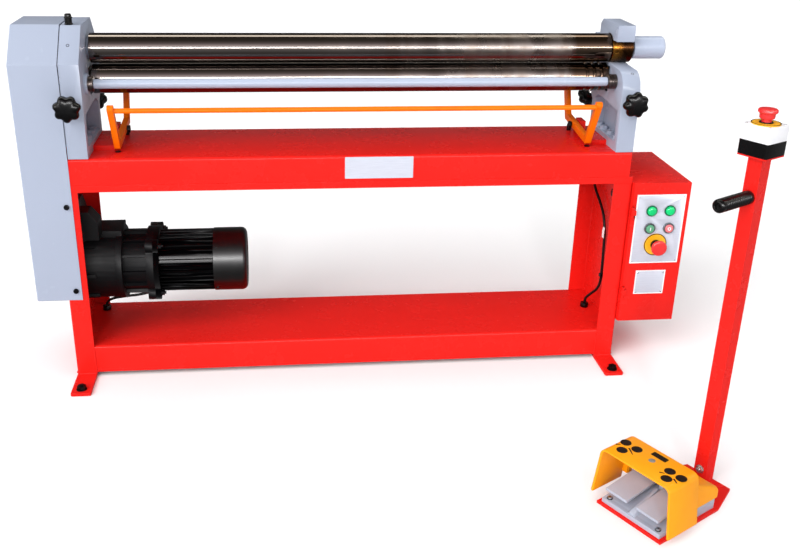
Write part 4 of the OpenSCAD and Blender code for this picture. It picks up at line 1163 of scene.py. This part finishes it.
for e_, (deg, c) in zip(el, STRIP):
    e_.position = (deg + 180) / 360
    e_.color = (*c, 1)
wt.links.new(span.outputs["Result"], rampw.inputs["Fac"])
wt.links.new(rampw.outputs["Color"], room.inputs["Color"])
lp = wt.nodes.new("ShaderNodeLightPath")
mixw = wt.nodes.new("ShaderNodeMixShader")
wt.links.new(lp.outputs["Is Glossy Ray"], mixw.inputs["Fac"])
wt.links.new(bg.outputs["Background"], mixw.inputs[1])
wt.links.new(room.outputs["Background"], mixw.inputs[2])
# the room behind the floor's far edge is as white as the floor
wall = wt.nodes.new("ShaderNodeBackground")
wall.inputs["Color"].default_value = (1, 1, 1, 1)
wall.inputs["Strength"].default_value = 1.05
mixc = wt.nodes.new("ShaderNodeMixShader")
wt.links.new(lp.outputs["Is Camera Ray"], mixc.inputs["Fac"])
wt.links.new(mixw.outputs["Shader"], mixc.inputs[1])
wt.links.new(wall.outputs["Background"], mixc.inputs[2])
wt.links.new(mixc.outputs["Shader"], wt.nodes["World Output"].inputs["Surface"])


def area(name, loc, aim, size, power, glossy_only=True):
    d = bpy.data.lights.new(name, "AREA")
    d.shape = "RECTANGLE"
    d.size, d.size_y = size
    d.energy = power
    ob = bpy.data.objects.new(name, d)
    bpy.context.scene.collection.objects.link(ob)
    ob.location = loc
    ob.rotation_euler = (Vector(aim) - Vector(loc)).to_track_quat("-Z", "Y").to_euler()
    if glossy_only:
        ob.visible_diffuse = False
    return ob


def sun(name, az, el_, energy, angle):
    d = bpy.data.lights.new(name, "SUN")
    d.energy = energy
    d.angle = math.radians(angle)
    ob = bpy.data.objects.new(name, d)
    bpy.context.scene.collection.objects.link(ob)
    a_, e_ = math.radians(az), math.radians(el_)
    frm = Vector((math.sin(a_) * math.cos(e_), -math.cos(a_) * math.cos(e_), math.sin(e_)))
    ob.rotation_euler = (-frm).to_track_quat("-Z", "Y").to_euler()
    ob.visible_glossy = False
    return ob


sun("front", -46, 30, 2.65, 45)
sun("flash", -6, 21, 0.60, 6)
sun("above", 20, 75, 0.8, 70)
area("lamp", (0.1, -2.06, 1.25), (0.1, 0.34, 0.5), (3.4, 0.16), 77)
area("card_left", (-3.0, -1.2, 1.6), (-0.4, 0.2, 0.5), (0.8, 1.6), 25)

sc = bpy.context.scene
sc.view_settings.view_transform = "Standard"
